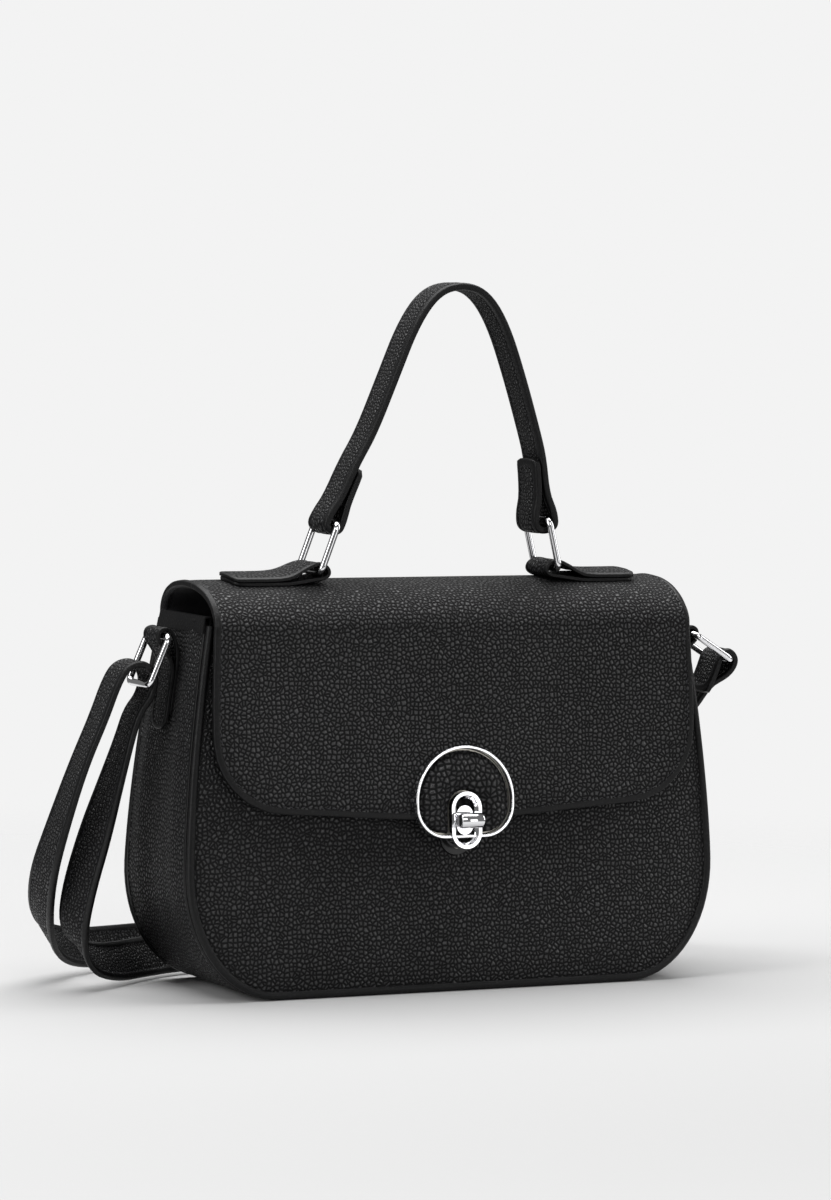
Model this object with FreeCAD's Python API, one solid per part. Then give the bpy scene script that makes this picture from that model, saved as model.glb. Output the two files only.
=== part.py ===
"""Satchel bag: soft black body with a turn-lock flap, a top handle and a shoulder strap.

Millimetres, +Z up.  The origin is the centre of the base, on the surface the bag stands on.
The front with the lock faces -Y and the bag's left side is -X.
"""
import FreeCAD, Part
import math
import os

V = FreeCAD.Vector
os.makedirs("parts", exist_ok=True)

# ---------------------------------------------------------------- driving dimensions
BODY_WIDTH = 250.0
MOUTH_WIDTH = 227.0
BODY_HEIGHT = 160.0
BASE_DEPTH = 78.0
MOUTH_DEPTH = 54.5
CORNER_WIDTH = 41.0
CORNER_HEIGHT = 52.0
SIDE_CURVE = 1.6            # how late the sides start to lean in, as a power

LEATHER = 2.0               # panel or gusset: outer leather on its backing
LINING = 0.5
WELT_WIDTH = 3.2            # sewn rim round the front and back panels
WELT_DEPTH = 3.5
PANEL_RECESS = 1.2          # panels lie this far behind the rim
LINING_RECESS = 5.3
GAP = 0.1                   # between layers of one body

FLAP_THICKNESS = 2.8
FLAP_LINING = 0.6
FLAP_STANDOFF = 2.4         # front rim to the flap's inner face
FLAP_TOP_HALF = 112.5
FLAP_WIDE_HALF = 114.5
CREASE_Z = 158.0
FOLD_GAP = 0.4              # between the flap's top and its hanging front
REAR_FOLD_Z = 161.5

LOCK_Z = 73.0
POST = (7.6, 12.5)          # shorter than the slot, so the flap can swing off it
SPIGOT_RADIUS = 1.5
KNOB_BORE = 1.55            # 0.05 running clearance on the spigot
KNOB_LENGTH = 11.0
KNOB_RADIUS = 3.3
SLOT = (8.6, 17.0)
COLLAR = (14.2, 24.4)
SCREW_RADIUS = 1.0
SCREW_X = 14.0
SCREW_Z = 17.0

WIRE_RADIUS = 1.45
RING_WIDTH = 23.0           # wire centre to wire centre
RING_HEIGHT = 22.0
RING_CORNER = 3.0
LOOP_BORE = 1.9             # leather loop round a ring's wire
LOOP_WALL = 1.6

HANDLE_Y = -4.0
HANDLE_WIDTH = 18.5
HANDLE_THICKNESS = 3.0
HANDLE_RING_X = 57.0
HANDLE_RING_Z = 178.4
LEFT_RING_LEAN = 20.7       # towards the middle of the bag
RIGHT_RING_LEAN = -13.9
OPEN_PIVOT_LOOP = 4.6       # looser loop at the right end of the handle

SIDE_Y = 3.0
LEFT_BAR = (-123.5, 151.5)
RIGHT_BAR = (129.5, 148.0)
LEFT_SIDE_LEAN = 23.0
RIGHT_SIDE_LEAN = -58.0
STRAP_WIDTH = 18.0
STRAP_THICKNESS = 2.6

LEAN = (BASE_DEPTH - MOUTH_DEPTH) / 2 / BODY_HEIGHT
LEAN_DEG = math.degrees(math.atan(LEAN))
REACH = 200.0               # longer than anything it is cut with


# ---------------------------------------------------------------- shared shapes
def side_x(z):
    """Half the bag's width at height z, above the rounded bottom corners."""
    rise = max(z - CORNER_HEIGHT, 0.0) / (BODY_HEIGHT - CORNER_HEIGHT)
    return BODY_WIDTH / 2 - (BODY_WIDTH - MOUTH_WIDTH) / 2 * rise ** SIDE_CURVE


def front_y(z, proud=0.0):
    """The front rim's plane, which leans back towards the mouth."""
    return -(BASE_DEPTH / 2 - LEAN * z) - proud


def arc3(a, b, c):
    return Part.Arc(a, b, c).toShape()


def line(a, b):
    return Part.LineSegment(a, b).toShape()


def body_outline(inset, top):
    """The bag seen from the front, as a prism along Y."""
    y = -REACH / 2
    centre_x = BODY_WIDTH / 2 - CORNER_WIDTH
    wide = CORNER_WIDTH - inset
    tall = CORNER_HEIGHT - inset
    corners = []
    for side in (-1, 1):
        points = []
        for turn in (0, 22.5, 45, 67.5, 90):
            angle = math.radians(turn)
            x = side * (centre_x + wide * math.sin(angle))
            points.append(V(x, y, CORNER_HEIGHT - tall * math.cos(angle)))
        curve = Part.BSplineCurve()
        curve.interpolate(Points=points, InitialTangent=V(side, 0, 0), FinalTangent=V(0, 0, 1))
        corners.append((points, curve.toShape()))
    middle = (CORNER_HEIGHT + top) / 2
    edges = [line(corners[0][0][0], corners[1][0][0])]
    tops = []
    for side, (points, edge) in zip((-1, 1), corners):
        end = V(side * (side_x(top) - inset), y, top)
        edges += [edge, arc3(points[-1], V(side * (side_x(middle) - inset), y, middle), end)]
        tops.append(end)
    edges.append(line(tops[0], tops[1]))
    return prism(Part.Wire(Part.__sortEdges__(edges)), V(0, REACH, 0))


def prism(wire, along):
    return Part.Face(wire).extrude(along)


def yz_prism(points, half=REACH):
    """A solid with the given YZ outline, from -half to half in X."""
    corners = [V(-half, y, z) for y, z in points]
    return prism(Part.makePolygon(corners + corners[:1]), V(2 * half, 0, 0))


def front_slab(inner, outer, low=-5.0, high=175.0):
    """The space between two planes parallel to the front rim, by how proud each is."""
    return yz_prism([(front_y(low, inner), low), (front_y(low, outer), low),
                     (front_y(high, outer), high), (front_y(high, inner), high)])


def mirrored_y(shape):
    return shape.mirror(V(0, 0, 0), V(0, 1, 0))


def mirrored_x(shape):
    return shape.mirror(V(0, 0, 0), V(1, 0, 0))


def between_faces(inset, low=-5.0, high=175.0):
    """The space between the front and back rim planes, moved in by inset."""
    return yz_prism([(front_y(low, -inset), low), (front_y(high, -inset), high),
                     (-front_y(high, -inset), high), (-front_y(low, -inset), low)])


def shell_of(outer_inset, inner_inset, top=BODY_HEIGHT):
    """A U-shaped band between two outlines, open at the mouth."""
    return body_outline(outer_inset, top).cut(body_outline(inner_inset, top + 8))


def xz_prism(wire_points, y_from, y_to):
    corners = [V(x, y_from, z) for x, z in wire_points]
    return prism(Part.makePolygon(corners + corners[:1]), V(0, y_to - y_from, 0))


def cylinder_y(x, z, radius, y_from, y_to):
    return Part.makeCylinder(radius, y_to - y_from, V(x, y_from, z), V(0, 1, 0))


# ---------------------------------------------------------------- lock frame of reference
def on_front(shape):
    """Moves a piece drawn with its outward side to -Y and the lock centre at the origin."""
    shape.rotate(V(0, 0, 0), V(1, 0, 0), -LEAN_DEG)
    shape.translate(V(0, front_y(LOCK_Z), LOCK_Z))
    return shape


def racetrack(size, inner, outer):
    """An upright oblong plate between two distances from the front rim's plane."""
    wide, tall = size
    radius = wide / 2
    rise = tall / 2 - radius
    y = -inner
    corners = [V(-radius, y, -rise), V(-radius, y, rise), V(radius, y, rise), V(radius, y, -rise)]
    edges = [line(corners[0], corners[1]), arc3(corners[1], V(0, y, tall / 2), corners[2]),
             line(corners[2], corners[3]), arc3(corners[3], V(0, y, -tall / 2), corners[0])]
    return prism(Part.Wire(edges), V(0, inner - outer, 0))


D_RADIUS = 23.25            # top arc of the lock plate
D_CORNER = 14.0
D_TOP = 31.8                # above the lock centre
D_BOTTOM = -7.5


def d_plate(inset, inner, outer):
    """The lock's rounded plate outline: a round top, a flat bottom and wide corners."""
    radius = D_RADIUS - inset
    corner = D_CORNER - inset
    shoulder = D_TOP - D_RADIUS
    low = D_BOTTOM + D_CORNER
    flat = D_RADIUS - D_CORNER
    y = -inner
    bend = corner * math.sqrt(0.5)
    edges = [line(V(-flat, y, low - corner), V(flat, y, low - corner)),
             arc3(V(flat, y, low - corner), V(flat + bend, y, low - bend), V(radius, y, low)),
             line(V(radius, y, low), V(radius, y, shoulder)),
             arc3(V(radius, y, shoulder), V(0, y, shoulder + radius), V(-radius, y, shoulder)),
             line(V(-radius, y, shoulder), V(-radius, y, low)),
             arc3(V(-radius, y, low), V(-flat - bend, y, low - bend), V(-flat, y, low - corner))]
    return prism(Part.Wire(edges), V(0, inner - outer, 0))


def pegs(places, radius, inner, outer):
    """Round pegs along the lock's outward direction."""
    solids = [Part.makeCylinder(radius, outer - inner, V(x, -inner, z), V(0, -1, 0)) for x, z in places]
    return Part.makeCompound(solids)


# ---------------------------------------------------------------- rings and straps
def ring(bar, y, lean, upward):
    """A rounded rectangular wire ring; its bar lies along Y at bar, the rest stands or hangs."""
    half = RING_WIDTH / 2
    tall = RING_HEIGHT
    c = RING_CORNER
    bend = c * (1 - math.sqrt(0.5))
    stops = []
    for sy, sz in ((1, 0), (1, 1), (-1, 1), (-1, 0)):
        corner_y = sy * half
        corner_z = sz * tall
        to_y = -sy * c
        to_z = c if sz == 0 else -c
        along_y = V(0, corner_y + to_y, corner_z)
        along_z = V(0, corner_y, corner_z + to_z)
        middle = V(0, corner_y + math.copysign(bend, to_y), corner_z + math.copysign(bend, to_z))
        first, last = (along_y, along_z) if sy * (1 - 2 * sz) > 0 else (along_z, along_y)
        stops.append((first, middle, last))
    edges = []
    for number, (first, middle, last) in enumerate(stops):
        edges.append(arc3(first, middle, last))
        edges.append(line(last, stops[(number + 1) % 4][0]))
    path = Part.Wire(edges)
    start = edges[1].valueAt(edges[1].FirstParameter)
    tangent = edges[1].tangentAt(edges[1].FirstParameter)
    section = Part.Wire(Part.makeCircle(WIRE_RADIUS, start, tangent))
    solid = path.makePipeShell([section], True, True)
    if not upward:
        solid.rotate(V(0, 0, 0), V(0, 1, 0), 180)
    solid.rotate(V(0, 0, 0), V(0, 1, 0), lean)
    solid.translate(V(bar[0], y, bar[1]))
    return solid


def unit(v):
    return v * (1.0 / v.Length)


ARC_STEPS = 6
TANGENT_SHARE = 0.45        # part of the shorter run that each arc takes


def route_stations(name, points, sides):
    """Walks straight runs joined by tangent arcs; gives place, direction and side at each section."""
    places = [V(*p) for p in points]
    sides = [V(*s) for s in sides]
    last = len(places) - 1
    stations = [(places[0], unit(places[1] - places[0]), sides[0])]
    radii = []
    for i in range(1, last):
        before = places[i] - places[i - 1]
        after = places[i + 1] - places[i]
        reach = TANGENT_SHARE * min(before.Length, after.Length)
        d0 = unit(before)
        d1 = unit(after)
        turn = d0.getAngle(d1)
        radius = reach / math.tan(turn / 2)
        radii.append(radius)
        inward = unit(d1 - d0)
        centre = places[i] + inward * (radius / math.cos(turn / 2))
        start = places[i] - d0 * reach
        axis = unit(d0.cross(d1))
        for step in range(ARC_STEPS + 1):
            share = step / ARC_STEPS
            swing = FreeCAD.Rotation(axis, math.degrees(turn * share))
            spot = centre + swing.multVec(start - centre)
            heading = swing.multVec(d0)
            stations.append((spot, heading, sides[i]))
    stations.append((places[last], unit(places[last] - places[last - 1]), sides[last]))
    print(name, "bend radii", [round(r, 1) for r in radii])
    return smooth_sides(stations)


def smooth_sides(stations):
    """Turns the side direction evenly from one route point's to the next and squares it up."""
    lengths = [0.0]
    for (a, _, _), (b, _, _) in zip(stations, stations[1:]):
        lengths.append(lengths[-1] + (b - a).Length)
    middles = [0]
    for i in range(1, (len(stations) - 2) // (ARC_STEPS + 1) + 1):
        middles.append(1 + (i - 1) * (ARC_STEPS + 1) + ARC_STEPS // 2)
    middles.append(len(stations) - 1)
    result = []
    for number, (spot, heading, _) in enumerate(stations):
        after = next(k for k, m in enumerate(middles) if m >= number)
        before = max(after - 1, 0)
        low, high = lengths[middles[before]], lengths[middles[after]]
        share = (lengths[number] - low) / (high - low) if high > low else 0.0
        side = stations[middles[before]][2] * (1 - share) + stations[middles[after]][2] * share
        side = unit(side - heading * side.dot(heading))
        result.append((spot, heading, side))
    return result, lengths[-1]


def ribbon(name, points, sides, width, thickness):
    """A flat strap along a route; sides gives the direction of its width at each point."""
    stations, length = route_stations(name, points, sides)
    sections = []
    for spot, heading, side in stations:
        across = side * (width / 2)
        through = unit(heading.cross(side)) * (thickness / 2)
        corners = [spot + across + through, spot + across - through,
                   spot - across - through, spot - across + through]
        sections.append(corners)
    faces = [polygon_face(sections[0]), polygon_face(sections[-1])]
    for a, b in zip(sections, sections[1:]):
        for k in range(4):
            n = (k + 1) % 4
            faces.append(polygon_face([a[k], a[n], b[n]]))
            faces.append(polygon_face([a[k], b[n], b[k]]))
    shell = Part.makeShell(faces)
    shell.sewShape()
    solid = Part.Solid(shell)
    if solid.Volume < 0:
        solid.reverse()
    share = solid.Volume / (width * thickness * length)
    print(name, "length %.0f mm, volume over section times length %.3f" % (length, share))
    return solid


def polygon_face(corners):
    return Part.Face(Part.makePolygon(corners + corners[:1]))


def save(name, shape):
    if not shape.isValid():
        print("INVALID", name)
    shape.exportStep("parts/%s.step" % name)
    box = shape.BoundBox
    print("%-22s solids %d  x %.1f..%.1f  y %.1f..%.1f  z %.1f..%.1f" % (
        name, len(shape.Solids), box.XMin, box.XMax, box.YMin, box.YMax, box.ZMin, box.ZMax))


# ---------------------------------------------------------------- bag body
RIVETS = ((0.0, -10.5), (0.0, 10.5))


def panel(at_front):
    face = body_outline(WELT_WIDTH + GAP, BODY_HEIGHT - 3)
    face = face.common(front_slab(-PANEL_RECESS - LEATHER, -PANEL_RECESS))
    if at_front:
        holes = pegs(RIVETS + ((0.0, 0.0),), SCREW_RADIUS + GAP / 2, -8, 4)
        return face.cut(on_front(holes))
    return mirrored_y(face)


def welt():
    rim = shell_of(0, WELT_WIDTH).common(front_slab(-WELT_DEPTH, 0))
    return rim


def gusset():
    return shell_of(0, LEATHER).common(between_faces(WELT_DEPTH + GAP))


def gusset_binding():
    """A folded edge over the top of the left gusset."""
    over = 0.7
    band = shell_of(-over, LEATHER + over, BODY_HEIGHT + over)
    band = band.common(between_faces(WELT_DEPTH + GAP))
    slab = Part.makeBox(REACH, REACH, 6 + over, V(-REACH, -REACH / 2, BODY_HEIGHT - 6))
    thick = shell_of(-GAP, LEATHER + GAP, BODY_HEIGHT + GAP)
    return band.common(slab).cut(thick)


def mouth_binding():
    """A folded edge along the top of the front panel."""
    wide = side_x(BODY_HEIGHT) - WELT_WIDTH - GAP
    strip = front_slab(-PANEL_RECESS - LEATHER - 0.8, -PANEL_RECESS + 0.8, BODY_HEIGHT - 9, BODY_HEIGHT)
    strip = strip.common(Part.makeBox(2 * wide, REACH, REACH, V(-wide, -REACH, 0)))
    room = front_slab(-PANEL_RECESS - LEATHER - GAP, -PANEL_RECESS + GAP, 0, BODY_HEIGHT - 3 + GAP)
    return strip.common(body_outline(WELT_WIDTH + GAP, BODY_HEIGHT + 1)).cut(room)


def lining():
    outer = body_outline(LEATHER + 0.9, BODY_HEIGHT - 7).common(between_faces(LINING_RECESS))
    inner = body_outline(LEATHER + 0.9 + LINING, BODY_HEIGHT + 2)
    return outer.cut(inner.common(between_faces(LINING_RECESS + LINING)))


def base_board():
    floor = LEATHER + 0.9 + LINING + GAP
    half_depth = -front_y(floor + 1.5, -LINING_RECESS - LINING) - 1.0
    half_width = BODY_WIDTH / 2 - CORNER_WIDTH
    return Part.makeBox(2 * half_width, 2 * half_depth, 1.5, V(-half_width, -half_depth, floor))


def slip_pocket():
    depth = LINING_RECESS + LINING + GAP
    sheet = mirrored_y(front_slab(-depth - 0.9, -depth, 48, 128))
    return sheet.common(Part.makeBox(140, REACH, REACH, V(-70, 0, 0)))


def side_tab(bar, bottom=112.0):
    """A strip sewn down the left gusset whose top end loops round a ring's bar."""
    width = 16.0
    y_from = SIDE_Y - width / 2
    outer = LOOP_BORE + LOOP_WALL

    def on_gusset(z, off):
        return (-side_x(z) - off, z)
    strip = [on_gusset(bottom, GAP), on_gusset(132, GAP), on_gusset(150, GAP),
             on_gusset(150, 3.2), on_gusset(132, 3.2), on_gusset(bottom, 3.2)]
    neck = [on_gusset(154, GAP), (bar[0] + 0.5, bar[1] + outer - 0.1), (bar[0] - 1.0, bar[1] - outer + 0.2),
            on_gusset(141, 3.2), on_gusset(141, GAP)]
    solid = xz_prism(strip, y_from, y_from + width)
    solid = solid.fuse(xz_prism(neck, y_from, y_from + width))
    solid = solid.fuse(cylinder_y(bar[0], bar[1], outer, y_from, y_from + width))
    solid = solid.cut(cylinder_y(bar[0], bar[1], LOOP_BORE, y_from - 1, y_from + width + 1))
    return solid.cut(body_outline(-GAP, BODY_HEIGHT)).removeSplitter()


save("front_panel", panel(True))
save("back_panel", panel(False))
save("front_welt", welt())
save("rear_welt", mirrored_y(welt()))
save("gusset", gusset())
save("gusset_binding_left", gusset_binding())
save("gusset_binding_right", mirrored_x(gusset_binding()))
save("mouth_binding", mouth_binding())
save("lining", lining())
save("base_board", base_board())
save("slip_pocket", slip_pocket())
save("side_tab_left", side_tab(LEFT_BAR))
save("side_tab_right", mirrored_x(side_tab((-RIGHT_BAR[0], RIGHT_BAR[1]))))

# ---------------------------------------------------------------- lock half on the body
PLATE_TOP = 0.0             # outer face of the base plate, level with the rim
POST_TOP = 8.5
SPIGOT_TOP = 12.8
KNOB_CENTRE = 14.2
KNOB_BEVEL = 1.1
NECK_RADIUS = 2.6
LOWER_PLATE = (15, 30)
WASHER_PLATE = (12, 27)
SHEET_METAL = 0.8
RIVET_HEAD = 0.6
RIVET_HEAD_RADIUS = 1.9
SEAT_GAP = 0.02             # under each rivet and screw head


def lock_base_plate():
    plate = racetrack(LOWER_PLATE, -PANEL_RECESS + GAP / 2, PLATE_TOP)
    return on_front(plate.cut(pegs(RIVETS, SCREW_RADIUS + GAP / 2, -8, 4)))


def lock_post():
    post = racetrack(POST, PLATE_TOP, POST_TOP)
    tip = Part.makeCylinder(SPIGOT_RADIUS, SPIGOT_TOP - POST_TOP, V(0, -POST_TOP, 0), V(0, -1, 0))
    return on_front(post.fuse(tip))


def lock_washer():
    back = -PANEL_RECESS - LEATHER - GAP
    plate = racetrack(WASHER_PLATE, back - SHEET_METAL, back)
    return on_front(plate.cut(pegs(RIVETS, SCREW_RADIUS + GAP / 2, -8, 4)))


def lock_rivets():
    back = -PANEL_RECESS - LEATHER - GAP - SHEET_METAL
    shanks = pegs(RIVETS, SCREW_RADIUS, back - RIVET_HEAD, PLATE_TOP + RIVET_HEAD)
    heads = pegs(RIVETS, RIVET_HEAD_RADIUS, PLATE_TOP + SEAT_GAP, PLATE_TOP + RIVET_HEAD)
    tails = pegs(RIVETS, RIVET_HEAD_RADIUS, back - RIVET_HEAD, back - SEAT_GAP)
    rivets = []
    for shank, head, tail in zip(shanks.Solids, heads.Solids, tails.Solids):
        rivets.append(shank.fuse([head, tail]).removeSplitter())
    return on_front(Part.makeCompound(rivets))


def lock_knob():
    half = KNOB_LENGTH / 2
    barrel = Part.makeCylinder(KNOB_RADIUS, KNOB_LENGTH, V(-half, -KNOB_CENTRE, 0), V(1, 0, 0))
    round_length = 2 * math.pi * KNOB_RADIUS
    rims = [edge for edge in barrel.Edges if edge.Closed and abs(edge.Length - round_length) < 0.1]
    barrel = barrel.makeChamfer(KNOB_BEVEL, rims)
    neck = Part.makeCylinder(NECK_RADIUS, KNOB_CENTRE - POST_TOP - GAP, V(0, -POST_TOP - GAP, 0), V(0, -1, 0))
    bore = Part.makeCylinder(KNOB_BORE, SPIGOT_TOP - POST_TOP + GAP, V(0, -POST_TOP, 0), V(0, -1, 0))
    return on_front(barrel.fuse(neck).cut(bore))


save("lock_base_plate", lock_base_plate())
save("lock_post", lock_post())
save("lock_washer", lock_washer())
save("lock_rivets", lock_rivets())
save("lock_knob", lock_knob())

# ---------------------------------------------------------------- flap
FLAP_INNER = FLAP_STANDOFF
FLAP_OUTER = FLAP_STANDOFF + FLAP_THICKNESS
SCREWS = ((-SCREW_X, SCREW_Z), (SCREW_X, SCREW_Z))


def flap_outline():
    """The hanging part of the flap seen from the front, as a prism along Y."""
    y = -REACH
    foot = 84.0             # half the gently curved bottom edge
    foot_z = 78.6
    low_z = 73.4
    top = CREASE_Z - FOLD_GAP
    edges = [arc3(V(-foot, y, foot_z), V(0, y, low_z), V(foot, y, foot_z))]
    for side in (-1, 1):
        corner = V(side * FLAP_WIDE_HALF, y, 112)
        edges.append(arc3(V(side * foot, y, foot_z), V(side * 106.5, y, 91.0), corner))
        edges.append(arc3(corner, V(side * (FLAP_WIDE_HALF - 0.2), y, 132), V(side * FLAP_TOP_HALF, y, top)))
    edges.append(line(V(-FLAP_TOP_HALF, y, top), V(FLAP_TOP_HALF, y, top)))
    return prism(Part.Wire(Part.__sortEdges__(edges)), V(0, REACH, 0))


def flap_front_layer(inner, outer):
    layer = flap_outline().common(front_slab(inner, outer))
    gaps = racetrack((COLLAR[0] + 0.4, COLLAR[1] + 0.4), -1, 20)
    layer = layer.cut(on_front(gaps))
    return layer.cut(on_front(pegs(SCREWS, SCREW_RADIUS + GAP / 2, -1, 20)))


ARCH = ((28.9, 158.5), (28.4, 162.5), (25.8, 167.4), (19.5, 171.8), (9.5, 174.1), (-2.0, 174.2),
        (-13.0, 172.6), (-22.5, 168.9), (-29.0, 163.8), (front_y(CREASE_Z, FLAP_OUTER), CREASE_Z),
        (front_y(CREASE_Z - 4, FLAP_OUTER), CREASE_Z - 4))
ARCH_STEPS = 24


def arch_curve(offset):
    """The flap's path over the mouth, offset inwards from its outer face."""
    outer = Part.BSplineCurve()
    points = [V(0, y, z) for y, z in ARCH]
    outer.interpolate(Points=points)
    if offset == 0:
        return outer
    moved = []
    for step in range(ARCH_STEPS + 1):
        u = outer.FirstParameter + (outer.LastParameter - outer.FirstParameter) * step / ARCH_STEPS
        heading = outer.tangent(u)[0]
        inward = V(0, heading.z, -heading.y) * -1.0
        moved.append(outer.value(u) + inward * offset)
    curve = Part.BSplineCurve()
    curve.interpolate(Points=moved)
    return curve


def arch_layer(inner, outer, x_from, x_to):
    a = arch_curve(outer)
    b = arch_curve(inner)
    edges = [a.toShape(), line(a.EndPoint, b.EndPoint), b.toShape(), line(b.StartPoint, a.StartPoint)]
    face = Part.Face(Part.Wire(Part.__sortEdges__(edges)))
    face.translate(V(x_from, 0, 0))
    layer = face.extrude(V(x_to - x_from, 0, 0))
    front_end = Part.makeBox(2 * REACH, REACH, REACH, V(-REACH, -REACH, CREASE_Z - REACH))
    rear_end = Part.makeBox(2 * REACH, REACH, REACH, V(-REACH, 0, REAR_FOLD_Z - REACH))
    return layer.cut([front_end, rear_end])


def under_arch(offset):
    """Everything below the flap's arch, for trimming what lies on it."""
    curve = arch_curve(offset)
    a, b = curve.StartPoint, curve.EndPoint
    low_a, low_b = V(0, a.y, 100), V(0, b.y, 100)
    edges = [curve.toShape(), line(b, low_b), line(low_b, low_a), line(low_a, a)]
    face = Part.Face(Part.Wire(Part.__sortEdges__(edges)))
    face.translate(V(-REACH, 0, 0))
    return face.extrude(V(2 * REACH, 0, 0))


def handle_tab():
    """Left anchor: a doubled strip sewn along the top of the flap, looped round the ring."""
    width = 20.0
    y_from = HANDLE_Y - width / 2
    loop_y = HANDLE_Y - HANDLE_WIDTH / 2
    outer = LOOP_BORE + LOOP_WALL
    x = -HANDLE_RING_X
    strip = arch_layer(-GAP, -3.5, -97, -62)
    strip = strip.common(Part.makeBox(REACH, width, REACH, V(-REACH, y_from, 100)))
    neck = [(-78, 174), (-72, 177.0), (x - 1.2, HANDLE_RING_Z + outer - 0.2),
            (x, HANDLE_RING_Z - outer + 0.05), (x - 5, 168), (-78, 168)]
    loop = xz_prism(neck, loop_y, loop_y + HANDLE_WIDTH)
    loop = loop.fuse(cylinder_y(x, HANDLE_RING_Z, outer, loop_y, loop_y + HANDLE_WIDTH))
    loop = loop.cut(under_arch(-GAP))
    bore = cylinder_y(x, HANDLE_RING_Z, LOOP_BORE, loop_y - 2, loop_y + HANDLE_WIDTH + 2)
    return strip.fuse(loop).cut(bore).removeSplitter()


LINING_DEPTH = FLAP_THICKNESS - FLAP_LINING
save("flap_top_leather", arch_layer(LINING_DEPTH - GAP, 0, -FLAP_TOP_HALF, FLAP_TOP_HALF))
save("flap_top_lining", arch_layer(FLAP_THICKNESS, LINING_DEPTH, -FLAP_TOP_HALF + 1, FLAP_TOP_HALF - 1))
save("flap_front_leather", flap_front_layer(FLAP_INNER + FLAP_LINING + GAP, FLAP_OUTER))
save("flap_front_lining", flap_front_layer(FLAP_INNER, FLAP_INNER + FLAP_LINING))
save("handle_tab_left", handle_tab())
save("handle_tab_right", mirrored_x(handle_tab()))

# ---------------------------------------------------------------- lock half on the flap
PLATE_IN = FLAP_OUTER + GAP
PLATE_OUT = PLATE_IN + 0.9
FRAME_OUT = PLATE_IN + 4.4
COLLAR_OUT = PLATE_IN + 5.2
FRAME_WALL = 1.4
COLLAR_STEP = 1.4           # height of the collar's raised inner face
COLLAR_STEP_WIDTH = 1.0
PAD_INSET = 2.0
SCREW_HEAD = 0.7
SCREW_HEAD_RADIUS = 2.1


def with_holes(plate, screws=True):
    plate = plate.cut(racetrack((COLLAR[0] + 0.2, COLLAR[1] + 0.2), -1, 20))
    if screws:
        plate = plate.cut(pegs(SCREWS, SCREW_RADIUS + GAP / 2, -1, 20))
    return on_front(plate)


def lock_frame():
    ring_solid = d_plate(0, PLATE_IN, FRAME_OUT).cut(d_plate(FRAME_WALL, PLATE_IN - 1, FRAME_OUT + 1))
    return with_holes(ring_solid, False)


def lock_pad():
    pad = d_plate(PAD_INSET, PLATE_OUT + GAP, FRAME_OUT - 0.6)
    pad = pad.cut(racetrack((COLLAR[0] + 0.2, COLLAR[1] + 0.2), -1, 20))
    return on_front(pad)


def lock_collar():
    step = COLLAR_OUT - COLLAR_STEP
    solid = racetrack(COLLAR, FLAP_INNER, step)
    crown = racetrack([side - 2 * COLLAR_STEP_WIDTH for side in COLLAR], step, COLLAR_OUT)
    return on_front(solid.fuse(crown).cut(racetrack(SLOT, -1, 30)))


def lock_screws():
    back = FLAP_INNER - GAP - SHEET_METAL
    shanks = pegs(SCREWS, SCREW_RADIUS, back - SCREW_HEAD, PLATE_OUT)
    heads = pegs(SCREWS, SCREW_HEAD_RADIUS, back - SCREW_HEAD, back - SEAT_GAP)
    screws = [shank.fuse(head).removeSplitter() for shank, head in zip(shanks.Solids, heads.Solids)]
    return on_front(Part.makeCompound(screws))


def lock_back_plate():
    """Plain plate behind the flap that the screws pull against."""
    plate = d_plate(3.0, FLAP_INNER - GAP - SHEET_METAL, FLAP_INNER - GAP)
    return with_holes(plate)


save("lock_frame", lock_frame())
save("lock_face_plate", with_holes(d_plate(1.5, PLATE_IN, PLATE_OUT)))
save("lock_pad", lock_pad())
save("lock_collar", lock_collar())
save("lock_back_plate", lock_back_plate())
save("lock_screws", lock_screws())

# ---------------------------------------------------------------- rings
LEFT_FOOT = (-HANDLE_RING_X, HANDLE_RING_Z)
RIGHT_FOOT = (HANDLE_RING_X, HANDLE_RING_Z)
save("handle_ring_left", ring(LEFT_FOOT, HANDLE_Y, LEFT_RING_LEAN, True))
save("handle_ring_right", ring(RIGHT_FOOT, HANDLE_Y, RIGHT_RING_LEAN, True))
save("side_ring_left", ring(LEFT_BAR, SIDE_Y, LEFT_SIDE_LEAN, False))
save("side_ring_right", ring(RIGHT_BAR, SIDE_Y, RIGHT_SIDE_LEAN, False))


def bar_end(bar, lean, upward):
    """Centre of the ring's other bar."""
    sign = 1 if upward else -1
    angle = math.radians(lean)
    return (bar[0] + sign * RING_HEIGHT * math.sin(angle), bar[1] + sign * RING_HEIGHT * math.cos(angle))


# ---------------------------------------------------------------- handle
def around_bar(bar, heading, outward, loop, layer):
    """Route of a strap end: up from the folded-back tab's end, round the bar and on along the strap."""
    def at(along, off):
        return tuple(bar[k] + heading[k] * along + outward[k] * off for k in (0, 1))
    return [at(27, -layer), at(11, -layer), at(3, -loop), at(-loop, -loop), at(-loop, loop), at(3, loop),
            at(11, layer), at(27, layer)]


def direction(lean_deg):
    return (math.sin(math.radians(lean_deg)), math.cos(math.radians(lean_deg)))


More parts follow.
